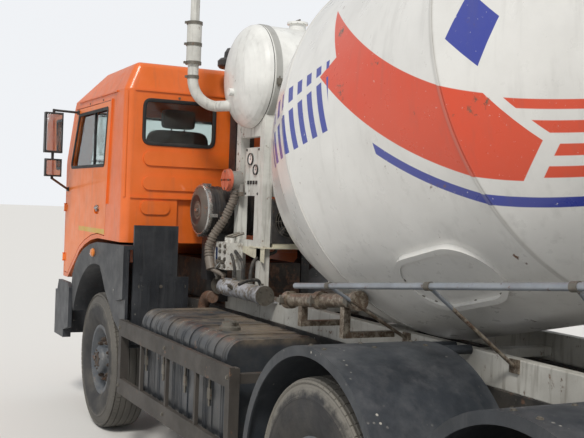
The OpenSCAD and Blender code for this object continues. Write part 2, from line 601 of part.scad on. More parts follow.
// Stand between cab and drum: carries the gearbox and the water tank
gearbox_r = 225;
gearbox_l = 400;
tank_x = axle_x - 1250;
tank_z = 2680;
post_y = 420;
gauge_x = [tank_x - 170, tank_x + 60];
gauge_z = [1850, 2185];
module drum_gearbox() color(steel) in_drum() {
    translate([0, 0, -100.5]) cylinder(h = 60, r = flange_r - 20);
    translate([0, 0, -40.5 - gearbox_l]) cylinder(h = gearbox_l - 40, r = gearbox_r);
    translate([0, 0, -40.5 - gearbox_l - 220]) cylinder(h = 221, r = 110);
}
module drum_stand() color(white) {
    difference() {
        union() {
            in_drum() translate([0, 0, -41 - gearbox_l + 60]) rotate([0, 0, 90]) linear_extrude(50)
                polygon([[-330, 200], [330, 200], [400, -900], [-400, -900]]);
            both_sides() {
                for (x = [tank_x - 200, tank_x + 200])
                    box([x - 35, post_y - 35, deck_z + fit], [x + 35, post_y + 35, tank_z - 150]);
                box([tank_x - 200, post_y - 30, tank_z - tank_r - 60], [tank_x + 200, post_y + 30, tank_z - 200]);
                box([tank_x - 200, post_y - 25, 1480], [tank_x + 200, post_y + 25, 1540]);
            }
            box([gauge_x[0], post_y - 160, gauge_z[0]], [gauge_x[1], post_y + 36, gauge_z[1]]);
            box([gauge_x[0], post_y - 35, gauge_z[0] - 350], [gauge_x[0] + 60, post_y + 36, gauge_z[0] + 1]);
        }
        in_drum() translate([0, 0, -800]) cylinder(h = 900, r = gearbox_r + fit);
        cyl_y(tank_x, tank_z, -900, 900, tank_r + fit);
        for (y = tank_band_ys) cyl_y(tank_x, tank_z, y - 1, y + 46, tank_r + 5 + fit);
        box([0, -900, 0], [2500, 900, deck_z + fit]);
    }
}
tank_band_ys = [-post_y - 22, post_y - 22];
tank_dish = 150;
module tank_solid(e) translate([tank_x, 0, tank_z]) rotate([-90, 0, 0]) {
    l = tank_l / 2 + e;
    r = tank_r + e;
    rotate_extrude($fn = 64) polygon(concat(
        [for (a = [0 : 10 : 90]) [r * sin(a), -l + tank_dish * (1 - cos(a))]],
        [for (a = [90 : -10 : 0]) [r * sin(a), l - tank_dish * (1 - cos(a))]]));
}
module water_tank() color(white) {
    tank_solid(0);
    for (y = tank_band_ys) cyl_y(tank_x, tank_z, y, y + 45, tank_r + 5);
    translate([tank_x, 120, tank_z + tank_r - 15]) cylinder(h = 55, r = 60);
    translate([tank_x, 120, tank_z + tank_r + 39]) cylinder(h = 16, r = 75);
    translate([tank_x + 60, -220, tank_z + tank_r - 20]) cylinder(h = 110, r = 22);
    cyl_y(tank_x, tank_z - 120, tank_l / 2 - 60, tank_l / 2 + 22, 26);
}
// Filler pipe beside the tank, and its elbow into the tank's end
pipe_x = axle_x - 990;
pipe_y = 800;
elbow_z = 2480;
module water_pipes() color(white) {
    translate([pipe_x, pipe_y, elbow_z + 180]) cylinder(h = 120, r = 38);
    translate([pipe_x, pipe_y, elbow_z + 280]) cylinder(h = 300, r = 52);
    translate([pipe_x, pipe_y, elbow_z + 560]) cylinder(h = 380, r = 32);
    translate([pipe_x, pipe_y - 180, elbow_z + 181]) rotate([90, 0, 90]) rotate([0, 0, -90])
        rotate_extrude(angle = 90) translate([180, 0]) circle(38);
    difference() {
        bar([pipe_x, pipe_y - 179, elbow_z], [tank_x + 60, 520, elbow_z], 38);
        tank_solid(fit);
    }
}

// Oil cooler with its fan ring, valve box with a sight glass, and the oil tank lying above the fuel tank
cooler_x = [tank_x - 260, tank_x - 95];
cooler_y = [125, 380];
fan_y = 252;
fan_r = 112;
cooler_z = [1530, 1835];
valve_x = [tank_x + 60, tank_x + 330];
oil_y = 530;
oil_r = 58;
module hydraulic_unit() color(steel) {
    difference() {
        box([cooler_x[0], cooler_y[0], cooler_z[0]], [cooler_x[1], cooler_y[1] + 4.7, cooler_z[1]]);
        cyl_x(fan_y, 1682, cooler_x[0] - 1, cooler_x[0] + 60, fan_r);
        cyl_x(fan_y, 1682, cooler_x[0] + 80, cooler_x[1] + 1, fan_r);
    }
    cyl_x(fan_y, 1682, cooler_x[0] + 15, cooler_x[0] + 81, 42);
    for (a = [0 : 60 : 300]) translate([cooler_x[0] + 40, fan_y, 1682]) rotate([a, 0, 0]) translate([0, 30, -18])
        rotate([0, 25, 0]) cube([8, fan_r - 38, 36]);
    difference() {
        box([valve_x[0], post_y + 35 + fit, 1325], [valve_x[1], 580, 1515]);
        box([valve_x[1] - 110, 574, 1360], [valve_x[1] - 60, 590, 1480]);
    }
    for (x = [valve_x[0] + 50, valve_x[0] + 130]) translate([x, 520, 1514]) cylinder(h = 34, r = 20);
    cyl_x(oil_y, 1200, tank_x - 490, tank_x + 200, oil_r);
    for (x = [tank_x - 480, tank_x + 120]) {
        cyl_x(oil_y, 1200, x, x + 30, oil_r + 6);
        box([x, rail_y + fit, 1150], [x + 30, oil_y - 30, 1190]);
    }
}

// Hydraulic pump with its finned cover, and the ribbed suction hose down to the fitting
pump = [tank_x + 150, 0, 1957];
pump_r = 66;
hose_r = 27;
hose_path = [[pump.x - 5, 490, 1900], [pump.x + 5, 500, 1810], [pump.x + 45, 545, 1680], [pump.x + 100, 605, 1560],
    [pump.x + 120, 630, 1470], [pump.x + 105, 630, 1400]];
module pump_and_hose() color(steel) {
    cyl_y(pump.x, pump.z, post_y + 35 + fit, 540, pump_r);
    cyl_y(pump.x, pump.z, 539, 552, pump_r + 14);
    difference() {
        cyl_y(pump.x, pump.z, 551, 574, pump_r + 8);
        for (a = [0, 90]) translate([pump.x, 566, pump.z]) rotate([0, a, 0]) cube([200, 20, 14], center = true);
    }
    box([pump.x - 60, post_y + 35 + fit, pump.z - 110], [pump.x + 60, 480, pump.z]);
    for (i = [1 : len(hose_path) - 1]) {
        bar(hose_path[i - 1], hose_path[i], hose_r);
        translate(hose_path[i]) sphere(hose_r + 2);
        for (t = [0.3, 0.6]) {
            p = hose_path[i - 1] + t * (hose_path[i] - hose_path[i - 1]);
            q = hose_path[i - 1] + (t + 0.1) * (hose_path[i] - hose_path[i - 1]);
            bar(p, q, hose_r + 4);
        }
    }
    bar(hose_path[len(hose_path) - 1], [pump.x + 70, 625, 1320], 34);
    bar([pump.x + 70, 625, 1322], [pump.x + 24, 548, 1280], 16);
    translate([pump.x + 24, 548, 1280]) sphere(20);
    translate([pump.x + 24, 548, 1200 + oil_r + fit]) cylinder(h = 80 - oil_r, r = 16);
}

// Rear: mouth hopper, collector and the frame that holds them
post_x = [rail_rear_x - 60, rail_rear_x];
post_top = 1200;
hinge_z = 1700;
frame_y = 690;
hopper_t = 8;
hopper_top = mouth_z + 673;
hopper_x = [mouth_x - 560, mouth_x];
module hopper_solid(e) hull() {
    box([hopper_x[0] + e, -480 + e, hopper_top - 160], [hopper_x[1] - e, 480 - e, hopper_top + (e > 0 ? 1 : 0)]);
    box([mouth_x + 30 + e, -240 + e, mouth_z + 43 + e],
        [mouth_x + 100 + (e > 0 ? 20 : 0), 240 - e, mouth_z + 313 - e]);
}
module charging_hopper() color(white) {
    difference() {
        hopper_solid(0);
        hopper_solid(hopper_t);
    }
    both_sides() box([hopper_x[1] - 1, 300, hopper_top - 60], [post_x[0] - fit, 360, hopper_top - 10]);
}
collector_low = hinge_z + 200;
collector_top = mouth_z - 187;
collector_x = [mouth_x - 520, mouth_x - 70];
module collector_solid(e) hull() {
    box([collector_x[0] + e, -420 + e, collector_top], [collector_x[1] - e, 420 - e, collector_top + 1]);
    box([chute_x - 130 + e, -130 + e, collector_low - (e > 0 ? 1 : 0)],
        [chute_x + 120 - e, 130 - e, collector_low + 1]);
}
module discharge_collector() color(white) difference() {
    union() {
        difference() {
            collector_solid(0);
            collector_solid(hopper_t);
            box([collector_x[0] - 100, -500, collector_top - 10], [collector_x[1] + 100, 500, collector_top + 100]);
        }
        both_sides() box([chute_x + 119, 90, collector_low + 170], [post_x[0] - fit, 125, collector_low + 210]);
    }
    in_drum() translate([0, 0, drum_l - 900]) cylinder(h = 960, r = 660);
    in_drum() translate([0, 0, drum_l + 20]) cylinder(h = 100, r = 500);
}
underrun_z = [560, 680];
module rear_bar() color(steel) {
    both_sides() box([post_x[0], frame_y - 30, 1060], [post_x[1], frame_y + 30, hopper_top]);
    box([post_x[0], -frame_y, 1061], [post_x[1] - fit, frame_y, 1120]);
    box([post_x[0], -frame_y, hopper_top - 60], [post_x[1], frame_y, hopper_top - 1]);
    box([post_x[0], -frame_y, 2060], [post_x[1], frame_y, 2120]);
    box([post_x[0] - 20, -1180, underrun_z[0]], [post_x[1] - fit, 1180, underrun_z[1]]);
    both_sides() box([post_x[0], 360, underrun_z[0] + 1], [post_x[1] - fit, 420, 1100]);
    both_sides() box([post_x[0] - 10, 840, underrun_z[1] - 1], [post_x[1] - 10, 1130, underrun_z[1] + 140]);
}
ladder_x = [post_x[0] + 30, post_x[0] + 330];
module ladder() color(steel) {
    for (x = ladder_x) box([x - 15, -1215, 620], [x + 15, -1185, 2400]);
    for (i = [0 : 4]) cyl_x(-1200, 760 + i * 300, ladder_x[0], ladder_x[1], 14);
    box([ladder_x[0] - 10, -1190, 2060], [ladder_x[1] + 10, -760, 2090]);
    box([ladder_x[0] - 10, -770, 2060], [ladder_x[0] + 50, -frame_y - 30 - fit, 2110]);
    box([ladder_x[0] - 14, -1190, 1060], [ladder_x[0] + 14, -frame_y - 30 - fit, 1090]);
}
pipe_ends = [[axle_x - 2900, 900, 1378], [axle_x - 5300, 900, 1600]];
// Thick drain pipe, clamped in three places, below the front end of the control pipe
drain_ends = [[axle_x - 2460, 720, 1255], [axle_x - 3260, 720, 1335]];
drain_r = 38;
module control_pipe() color(steel) {
    bar(pipe_ends[0], pipe_ends[1], 15);
    bar(drain_ends[0], drain_ends[1], drain_r);
    for (t = [0, 0.46, 0.94]) bar(drain_ends[0] + t * (drain_ends[1] - drain_ends[0]),
        drain_ends[0] + (t + 0.06) * (drain_ends[1] - drain_ends[0]), drain_r + 12);
    for (x = [140, -330]) box([x - 20, rail_y + fit, deck_z - 40], [x + 20, 740, deck_z - 10]);
    for (x = [140, -330]) box([x - 20, 700, deck_z - 30], [x + 20, 740, deck_z + 130]);
    for (t = [0.15, 0.5, 0.85]) {
        p = pipe_ends[0] + t * (pipe_ends[1] - pipe_ends[0]);
        bar([p.x, rail_y + 8, deck_z - 30], [p.x, p.y, p.z], 9);
        box([p.x - 30, rail_y + fit, deck_z - 60], [p.x + 30, rail_y + 10, deck_z]);
    }
}

// Chute: swivels on a post, tilts on the fork and folds at its end
arm_y = chute_r + 22;
module chute_post() color(white) {
    translate([chute_x, 0, post_top - 200]) cylinder(h = 200, r = 55);
    box([chute_x, -60, post_top - 200], [post_x[0] - fit, 60, post_top - 80]);
    box([post_x[0] - 20, -150, post_top - 200], [post_x[0] - fit, 150, post_top - 80]);
}
module in_swivel() translate([chute_x, 0, 0]) rotate([0, 0, 180 + chute_yaw]) children();
module in_chute() in_swivel() translate([0, 0, hinge_z]) rotate([0, chute_slope, 0]) children();
jack_foot = [110, 0, hinge_z - 840];
jack_eye = [700, 0, -chute_r - 45];
module chute_swivel() color(white) in_swivel() {
    translate([0, 0, post_top + fit]) cylinder(h = 30, r = 110);
    translate([0, 0, post_top + 20]) cylinder(h = 160, r = 50);
    box([-40, -arm_y - 20, post_top + 165], [40, arm_y + 20, post_top + 195]);
    both_sides() box([-40, arm_y, post_top + 166], [40, arm_y + 20, hinge_z + 40]);
    box([60, -46, post_top + 1], [160, 46, post_top + 30]);
    both_sides() box([80, 34, jack_foot.z - 30], [140, 46, post_top + 30]);
    cyl_y(jack_foot.x, jack_foot.z, -46, 46, jack_pin_r);
}
module trough(l, r) rotate([0, 90, 0]) linear_extrude(l) difference() {
    circle(r);
    circle(r - chute_t);
    translate([-r - 1, -r - 1]) square([r + 1, 2 * r + 2]);
}
module chute() color(white) in_chute() {
    translate([-chute_back, 0, 0]) trough(chute_l, chute_r);
    both_sides() cyl_x(chute_r - 3, -5, -chute_back, chute_l - chute_back - 90, 9);
    translate([chute_l * 0.35, 0, 0]) rotate([0, 90, 0]) linear_extrude(30) difference() {
        circle(chute_r + 8);
        circle(chute_r - 2);
        translate([-chute_r - 9, -chute_r - 9]) square([chute_r + 25, 2 * chute_r + 18]);
    }
    both_sides() cyl_y(0, 0, chute_r - 4, arm_y - 0.5, 20);
    both_sides() box([jack_eye.x - 30, 14, jack_eye.z - 20], [jack_eye.x + 30, 22, -chute_r + 8]);
    cyl_y(jack_eye.x, jack_eye.z, -22, 22, eye_pin_r);
    both_sides() {
        cyl_y(fold_x, fold_z, chute_r + 1, chute_r + 8, 22);
        cyl_y(fold_x, fold_z, chute_r, chute_r + 24, fold_pin_r);
        box([fold_x - 80, chute_r - 4, fold_z - 50], [fold_x, chute_r + 8, fold_z]);
    }
}
fold_x = chute_l - chute_back + 3;
fold_pin_r = 10;
module chute_extension() color(white) in_chute() translate([fold_x, 0, fold_z]) rotate([0, 180, 0]) {
    translate([3, 0, -fold_z]) trough(extension_l, chute_r);
    both_sides() {
        box([30, chute_r - 6, -40], [90, chute_r + 12, -10]);
        difference() {
            union() {
                cyl_y(0, 0, chute_r + 9, chute_r + 17, 22);
                box([0, chute_r + 9, -40], [90, chute_r + 17, 8]);
            }
            cyl_y(0, 0, chute_r + 8, chute_r + 18, fold_pin_r + fit);
        }
    }
}

// Screw jack under the chute, from the swivel's foot to the eye on the chute's belly
function turned(p) = [p.x * cos(chute_slope) + p.z * sin(chute_slope), 0,
    hinge_z - p.x * sin(chute_slope) + p.z * cos(chute_slope)];
jack_top = turned(jack_eye);
jack_a = atan2(jack_top.z - jack_foot.z, jack_top.x - jack_foot.x);
jack_len = norm(jack_top - jack_foot);
module in_jack() in_swivel() translate(jack_foot) rotate([0, 90 - jack_a, 0]) children();
barrel_l_jack = 425;
jack_pin_r = 12;
eye_pin_r = 8;
eye_play = 6;
rod_low = 294;
module jack_barrel() color(steel) in_jack() difference() {
    union() {
        rotate([90, 0, 0]) translate([0, 0, -33]) cylinder(h = 66, r = 26);
        cylinder(h = barrel_l_jack, r = 30);
    }
    translate([0, 0, 60]) cylinder(h = barrel_l_jack, r = 18);
    rotate([90, 0, 0]) translate([0, 0, -35]) cylinder(h = 70, r = jack_pin_r + fit);
}
module jack_rod() color(steel) in_jack() difference() {
    union() {
        translate([0, 0, rod_low]) cylinder(h = jack_len - rod_low - 60, r = 17);
        translate([0, 0, jack_len - 61]) cylinder(h = 61, r = 11);
        translate([0, 12, jack_len]) rotate([90, 0, 0]) cylinder(h = 24, r = 24);
    }
    translate([0, 13, jack_len]) rotate([90, 0, 0]) cylinder(h = 26, r = eye_pin_r + eye_play);
}

// Cab outline from the side, drawn in by e. Its belly follows the wheel arch: x from the axle, drop below the sill
screen_z = [1960, 2530];
belly = [[60, 0], [260, 25], [460, 75], [620, 135], [780, 245], [900, 320], [1000, 388]];
module cab_side(e) polygon(concat([[cab_rear + e, cab_sill_z + e], [cab_rear + e, roof_seam_z - fit],
    [cab_front - 430 - e, roof_seam_z - fit], [cab_front - 400 - e, roof_seam_z - 30],
    [cab_front - 60 - e, screen_z[0] - 30], [cab_front - e, screen_z[0] - 190], [cab_front - e, cab_low_z + e]],
    [for (i = [len(belly) - 1 : -1 : 0]) [axle_x + belly[i][0] + e * 0.5, cab_sill_z - belly[i][1] + e]]));
module cab_plan(e) {
    w = cab_w - 2 * e;
    r = 170;
    translate([cab_rear + e, -w / 2 + 60]) square([400, w - 120]);
    for (y = [-1, 1]) translate([cab_rear + e + 60, y * (w / 2 - 60)]) circle(60);
    translate([cab_rear + e + 60, -w / 2]) square([cab_l - 2 * e - 60 - r, w]);
    translate([cab_rear + 300, -w / 2 + r]) square([cab_l - e - 300, w - 2 * r]);
    for (y = [-1, 1]) translate([cab_front - e - r, y * (w / 2 - r)]) circle(r);
}
module cab_volume(e) intersection() {
    across(-cab_w, cab_w) cab_side(e);
    translate([0, 0, 900]) linear_extrude(2000) cab_plan(e);
}
window_z = [2050, 2490];
window_r = 40;
module door_outline(e) polygon(concat([[door_rear + 80 - e, cab_sill_z + 30 - e], [door_rear - 10 - e,
    roof_seam_z - 50 + e], [cab_front - 450 + e * 0.5, roof_seam_z - 50 + e], [door_front - 40 + e, screen_z[0] - 10],
    [door_front + e, screen_z[0] - 90], [door_front + e, cab_low_z + 45 - e]],
    [for (i = [len(belly) - 1 : -1 : 0]) [axle_x + belly[i][0] + 12 - e * 0.4, cab_sill_z - belly[i][1] + 40 - e]]));
module window_outline(e) polygon([[door_rear + 150 - e, window_z[0] - e], [door_rear + 80 - e, window_z[1] + e],
    [cab_front - 560 + e * 0.6, window_z[1] + e], [door_front - 160 + e, window_z[0] + 40],
    [door_front - 160 + e, window_z[0] - e]]);
rear_window = [[466, 2210], [1016, 2530]];
module rear_opening(e) translate([rear_window[0].x + e, rear_window[0].y + e])
    rounded(rear_window[1].x - rear_window[0].x - 2 * e, rear_window[1].y - rear_window[0].y - 2 * e, 60);
flap_y = 860;
flap_z = [1240, 1765];
// Pin hinges: the flap's along its top edge, the doors' up their front edges
flap_pin = [cab_front + 9, flap_z[1] - door_gap];
flap_hinge_ys = [-560, 560];
door_pin = [door_front + door_gap / 2, cab_w / 2 + 9];
door_hinge_zs = [1260, 1700];
hinge_r = 8;
pin_r = 4;
// Pressed ribs of the rear wall: y, z, width and height of each
rear_ribs = [[-1015, 2049, 2030, 106], [-1015, 1869, 2030, 99], [801, 1689, 225, 99], [-1026, 1689, 225, 99]];
rib_h = 14;
step_z = 1812;
module cab_shell() color(orange) {
    along(cab_rear - rib_h, cab_rear + 5) for (p = rear_ribs) translate([p[0], p[1]]) rounded(p[2], p[3], p[3] / 2 - 1);
    box([cab_rear - 12, -cab_side_y + 55, step_z - 6], [cab_rear + 5, cab_side_y - 55, step_z + 6]);
    both_sides() {
        translate([cab_rear + 18, cab_side_y - 18, step_z]) cylinder(h = roof_seam_z - step_z - 2, r = 11);
        across(cab_side_y - 2, cab_side_y + 14) polygon([[door_rear + 18, step_z - 60], [door_rear + 32, step_z - 60],
            [door_rear - 40, roof_seam_z - 40], [door_rear - 54, roof_seam_z - 40]]);
    }
    for (y = flap_hinge_ys) {
        cyl_y(flap_pin.x, flap_pin.y, y - 36, y + 36, pin_r);
        for (y0 = [y - 36, y + 26]) {
            cyl_y(flap_pin.x, flap_pin.y, y0, y0 + 10, hinge_r);
            box([cab_front - 20, y0, flap_pin.y + 4], [flap_pin.x + 3, y0 + 10, flap_pin.y + 26]);
        }
    }
    both_sides() for (z = door_hinge_zs) {
        translate([door_pin.x, door_pin.y, z - 36]) cylinder(h = 72, r = pin_r);
        for (z0 = [z - 36, z + 26]) {
            translate([door_pin.x, door_pin.y, z0]) cylinder(h = 10, r = hinge_r);
            box([door_pin.x + 4, cab_w / 2 - 8, z0], [door_pin.x + 34, door_pin.y + 3, z0 + 10]);
        }
    }
    difference() {
        cab_volume(0);
        difference() {
            cab_volume(cab_wall);
            box([0, -2000, 0], [5000, 2000, cab_low_z + 40]);
        }
        box([cab_rear + cab_wall, -cab_w / 2 + cab_wall, roof_seam_z - 80],
            [cab_front - 480, cab_w / 2 - cab_wall, roof_seam_z + 10]);
        box([cab_rear - 1, -740, cab_sill_z - 1], [cab_rear + 28, 740, step_z - 6]);
        box([cab_front - 560, -960, screen_z[0]], [cab_front + 10, 960, screen_z[1]]);
        both_sides() across(cab_w / 2 - cab_wall - 60, cab_w) door_outline(door_gap);
        both_sides() along(cab_rear - 10, cab_rear + 60) rear_opening(0);
        box([cab_front - 30, -flap_y, flap_z[0]], [cab_front + 10, flap_y, flap_z[1]]);
        both_sides() {
            box([pivot.x - mount_r - 12, mount_y[0] - 3, 1000], [pivot.x + 80, mount_y[1] + 3, pivot.z + mount_r + 3]);
            cyl_y(pivot.x, pivot.z, mount_y[0] - 26, mount_y[1] + 26, tilt_pin_r + fit);
        }
    }
}
// Roof: one pressing, its edges rounded all along. Rows: x, half width and height of its top, and edge radius
roof_crown = [[cab_rear + 95, cab_side_y - 130, roof_z, 60], [cab_front - 1000, cab_side_y - 150, roof_z, 70],
    [cab_front - 660, cab_side_y - 190, roof_z - 50, 70]];
module roof_solid(e) hull() {
    intersection() {
        translate([0, 0, roof_seam_z - e]) linear_extrude(14) cab_plan(e);
        box([cab_rear, -cab_side_y, 0], [cab_front - 430 - e, cab_side_y, 5000]);
    }
    for (c = roof_crown, side = [-1, 1])
        translate([c[0] + e * 0.5, side * (c[1] - e), c[2] - c[3] - e]) sphere(c[3], $fn = 24);
}
module cab_roof() color(orange) {
    difference() {
        roof_solid(0);
        roof_solid(45);
    }
    both_sides() box([cab_rear + 200, cab_side_y - 6, roof_seam_z + 2], [cab_front - 560, cab_side_y + 12,
        roof_seam_z + 12]);
    box([cab_rear - 10, -cab_side_y + 70, roof_seam_z + 2], [cab_rear + 6, cab_side_y - 70, roof_seam_z + 12]);
}
module cab_glass() color("lightblue", 0.5) {
    intersection() {
        difference() {
            cab_volume(15);
            cab_volume(23);
        }
        box([cab_front - 560, -960 + fit, screen_z[0] + fit], [cab_front + 10, 960 - fit, screen_z[1] - fit]);
    }
    both_sides() along(cab_rear + 15, cab_rear + 23) rear_opening(fit);
}
floor_z = cab_sill_z + cab_wall;
module cab_interior() color("dimgray") {
    both_sides() {
        box([cab_rear + 420, 330, floor_z + fit], [cab_rear + 920, 850, floor_z + 330]);
        box([cab_rear + 400, 330, floor_z + 300], [cab_rear + 540, 850, floor_z + 850]);
        box([cab_rear + 420, 450, floor_z + 849], [cab_rear + 500, 730, floor_z + 1020]);
    }
    across(-935, 935) polygon([[cab_front - 250, 1500], [cab_front - cab_wall - fit, 1500],
        [cab_front - cab_wall - fit, 1765], [cab_front - 115, 1925], [cab_front - 400, 1925], [cab_front - 440, 1800]]);
    bar([cab_front - 400, 590, 1800], [cab_front - 640, 590, floor_z + 462], 30);
    translate([cab_front - 640, 590, floor_z + 462]) rotate([0, -51.6, 0]) {
        cylinder(h = 20, r = 60);
        rotate_extrude() translate([210, 10]) circle(16);
        for (a = [0, 120, 240]) rotate(a) translate([50, -12, 2]) cube([155, 24, 12]);
    }
}
// Grille: bars in a frame on the flap
grille_y = 700;
grille_z = [flap_z[0] + 120, flap_z[1] - 130];
module front_grille() color(black) {
    difference() {
        box([cab_front + fit, -grille_y, grille_z[0]], [cab_front + 24, grille_y, grille_z[1]]);
        box([cab_front + 6, -grille_y + 25, grille_z[0] + 25], [cab_front + 30, grille_y - 25, grille_z[1] - 25]);
    }
    for (z = [grille_z[0] + 55 : 45 : grille_z[1] - 40]) box([cab_front + 5, -grille_y + 20, z],
        [cab_front + 20, grille_y - 20, z + 18]);
}
module service_flap() color(orange) difference() {
    union() {
        box([cab_front - 24, -flap_y + door_gap, flap_z[0] + door_gap],
            [cab_front, flap_y - door_gap, flap_z[1] - door_gap]);
        for (y = flap_hinge_ys) {
            cyl_y(flap_pin.x, flap_pin.y, y - 25, y + 25, hinge_r);
            box([cab_front - 1, y - 25, flap_pin.y - 40], [flap_pin.x - 3, y + 25, flap_pin.y]);
        }
    }
    for (y = flap_hinge_ys) cyl_y(flap_pin.x, flap_pin.y, y - 26, y + 26, pin_r + fit);
}
// Recess of the door handle, behind the door's rear edge and above the ground
handle = [250, 1668];
// The inner layer of a door is smaller all round, so it clears the shell's edge as it swings
door_rebate = 16;
module door() difference() {
    union() {
        across(cab_w / 2 - 14, cab_w / 2) door_outline(0);
        across(cab_w / 2 - cab_wall, cab_w / 2 - 13) door_outline(-door_rebate);
        for (z = door_hinge_zs) {
            translate([door_pin.x, door_pin.y, z - 25]) cylinder(h = 50, r = hinge_r);
            box([door_pin.x - 40, cab_w / 2 - 1, z - 25], [door_pin.x, door_pin.y - 3, z + 25]);
        }
    }
    across(cab_w / 2 - cab_wall - 1, cab_w / 2 + 1) window_outline(0);
    for (z = door_hinge_zs) translate([door_pin.x, door_pin.y, z - 26]) cylinder(h = 52, r = pin_r + fit);
    difference() {
        across(cab_side_y - 18, cab_side_y + 1) translate([door_rear + handle[0], handle[1]]) rounded(150, 66, 32);
        box([door_rear + handle[0], cab_side_y - 9, handle[1] + 38], [door_rear + handle[0] + 150, cab_side_y,
            handle[1] + 54]);
    }
}
module door_left() color(orange) door();
module door_right() color(orange) mirror([0, 1, 0]) door();
module door_glass() across(cab_w / 2 - 28, cab_w / 2 - 22) window_outline(-fit);
module door_glass_left() color("lightblue", 0.5) door_glass();
module door_glass_right() color("lightblue", 0.5) mirror([0, 1, 0]) door_glass();
mirror_x = axle_x + 800;
mirror_y = cab_side_y + 140;
module mirror_piece() {
    box([mirror_x - 60, mirror_y, 2160], [mirror_x, mirror_y + 150, 2500]);
    box([mirror_x - 50, mirror_y, 1960], [mirror_x - 10, mirror_y + 140, 2110]);
    box([mirror_x - 35, mirror_y + 65, 1940], [mirror_x - 15, mirror_y + 85, 2530]);
    for (p = [[cab_front - 530, 2515, 2520], [door_front - 60, 1860, 1945]]) {
        bar([mirror_x - 25, mirror_y + 75, p[2]], [p[0], cab_w / 2 + 8, p[1]], 10);
        box([p[0] - 25, cab_w / 2 + fit, p[1] - 18], [p[0] + 25, cab_w / 2 + 12, p[1] + 18]);
    }
}
module mirror_left() color(black) mirror_piece();
module mirror_right() color(black) mirror([0, 1, 0]) mirror_piece();

frame_rails();
subframe();
front_bumper();
front_axle();
rear_axles();
leaf_springs();
engine();
prop_shafts();
fuel_tank();
side_guards();
side_boxes();
front_wings();
rear_fenders();
cab_mounts();
air_cleaner();
exhaust();
drum_stand();
drum_gearbox();
hydraulic_unit();
water_tank();
water_pipes();
roller_stand();
charging_hopper();
discharge_collector();
ladder();
control_pipe();
rear_bar();
chute_post();
cab_shell();
cab_roof();
cab_glass();
cab_interior();
mirror_left();
mirror_right();
service_flap();
door_left();
door_right();
door_glass_left();
door_glass_right();
knuckle_left();
knuckle_right();
wheel_front_left();
wheel_front_right();
wheel_rear_1_left();
wheel_rear_1_right();
wheel_rear_2_left();
wheel_rear_2_right();
drum_shell();
roller_left();
roller_right();
chute_swivel();
chute();
chute_extension();
jack_barrel();
jack_rod();
drum_blades();
lamps();
front_grille();
pump_and_hose();
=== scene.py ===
import bpy
import bmesh
import json
from math import atan2, cos, hypot, pi, radians, sin, sqrt
from mathutils import Matrix, Vector


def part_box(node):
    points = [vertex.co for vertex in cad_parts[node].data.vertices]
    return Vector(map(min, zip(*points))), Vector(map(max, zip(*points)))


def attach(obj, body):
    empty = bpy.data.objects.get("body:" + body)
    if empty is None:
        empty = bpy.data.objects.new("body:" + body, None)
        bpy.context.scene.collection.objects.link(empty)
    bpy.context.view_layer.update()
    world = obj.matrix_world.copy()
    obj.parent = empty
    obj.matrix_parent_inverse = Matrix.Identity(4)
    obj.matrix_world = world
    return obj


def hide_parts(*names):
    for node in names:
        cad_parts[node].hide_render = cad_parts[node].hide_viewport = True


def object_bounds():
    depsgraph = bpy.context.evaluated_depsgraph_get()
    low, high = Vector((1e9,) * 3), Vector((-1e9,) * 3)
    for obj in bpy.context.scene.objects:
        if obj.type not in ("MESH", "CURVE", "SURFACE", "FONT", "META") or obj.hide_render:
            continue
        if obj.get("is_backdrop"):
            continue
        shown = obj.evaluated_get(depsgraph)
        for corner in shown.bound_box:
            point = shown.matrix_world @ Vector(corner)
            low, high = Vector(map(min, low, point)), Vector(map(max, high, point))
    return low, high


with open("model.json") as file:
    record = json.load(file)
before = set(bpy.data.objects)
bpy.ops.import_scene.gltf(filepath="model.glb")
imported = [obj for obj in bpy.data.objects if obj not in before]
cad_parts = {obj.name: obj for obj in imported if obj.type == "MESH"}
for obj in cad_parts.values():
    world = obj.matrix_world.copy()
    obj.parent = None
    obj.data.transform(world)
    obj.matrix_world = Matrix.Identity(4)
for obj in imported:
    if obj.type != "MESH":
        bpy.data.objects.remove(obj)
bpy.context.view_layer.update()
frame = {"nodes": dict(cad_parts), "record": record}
nodes = frame["nodes"]

# Studio
# The truck stands on a pale floor that fades into a pale backdrop, under one large soft
# key lamp from behind the camera's left shoulder and an even sky.
scene = bpy.context.scene
scene.view_settings.view_transform = "Standard"


def put(tree, kind, sockets=(), **settings):
    n = tree.nodes.new("ShaderNode" + kind)
    for key, value in settings.items():
        setattr(n, key, value)
    for key, value in dict(sockets).items():
        if isinstance(value, bpy.types.NodeSocket):
            tree.links.new(value, n.inputs[key])
        else:
            n.inputs[key].default_value = value
    return n.outputs[0]


def shade(code):
    parts = [int(code[i:i + 2], 16) / 255 for i in (0, 2, 4)]
    return [p / 12.92 if p <= 0.04045 else ((p + 0.055) / 1.055) ** 2.4 for p in parts] + [1]


floor_mesh = bpy.data.meshes.new("studio_floor")
bm = bmesh.new()
bmesh.ops.create_grid(bm, x_segments=2, y_segments=2, size=150)
bm.to_mesh(floor_mesh)
bm.free()
studio_floor = bpy.data.objects.new("studio_floor", floor_mesh)
scene.collection.objects.link(studio_floor)
studio_floor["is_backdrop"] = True
floor_paint = bpy.data.materials.new("studio_floor")
floor_paint.use_nodes = True
floor_paint.node_tree.nodes["Principled BSDF"].inputs["Base Color"].default_value = shade("dedcd8")
floor_paint.node_tree.nodes["Principled BSDF"].inputs["Roughness"].default_value = 0.9
floor_mesh.materials.append(floor_paint)

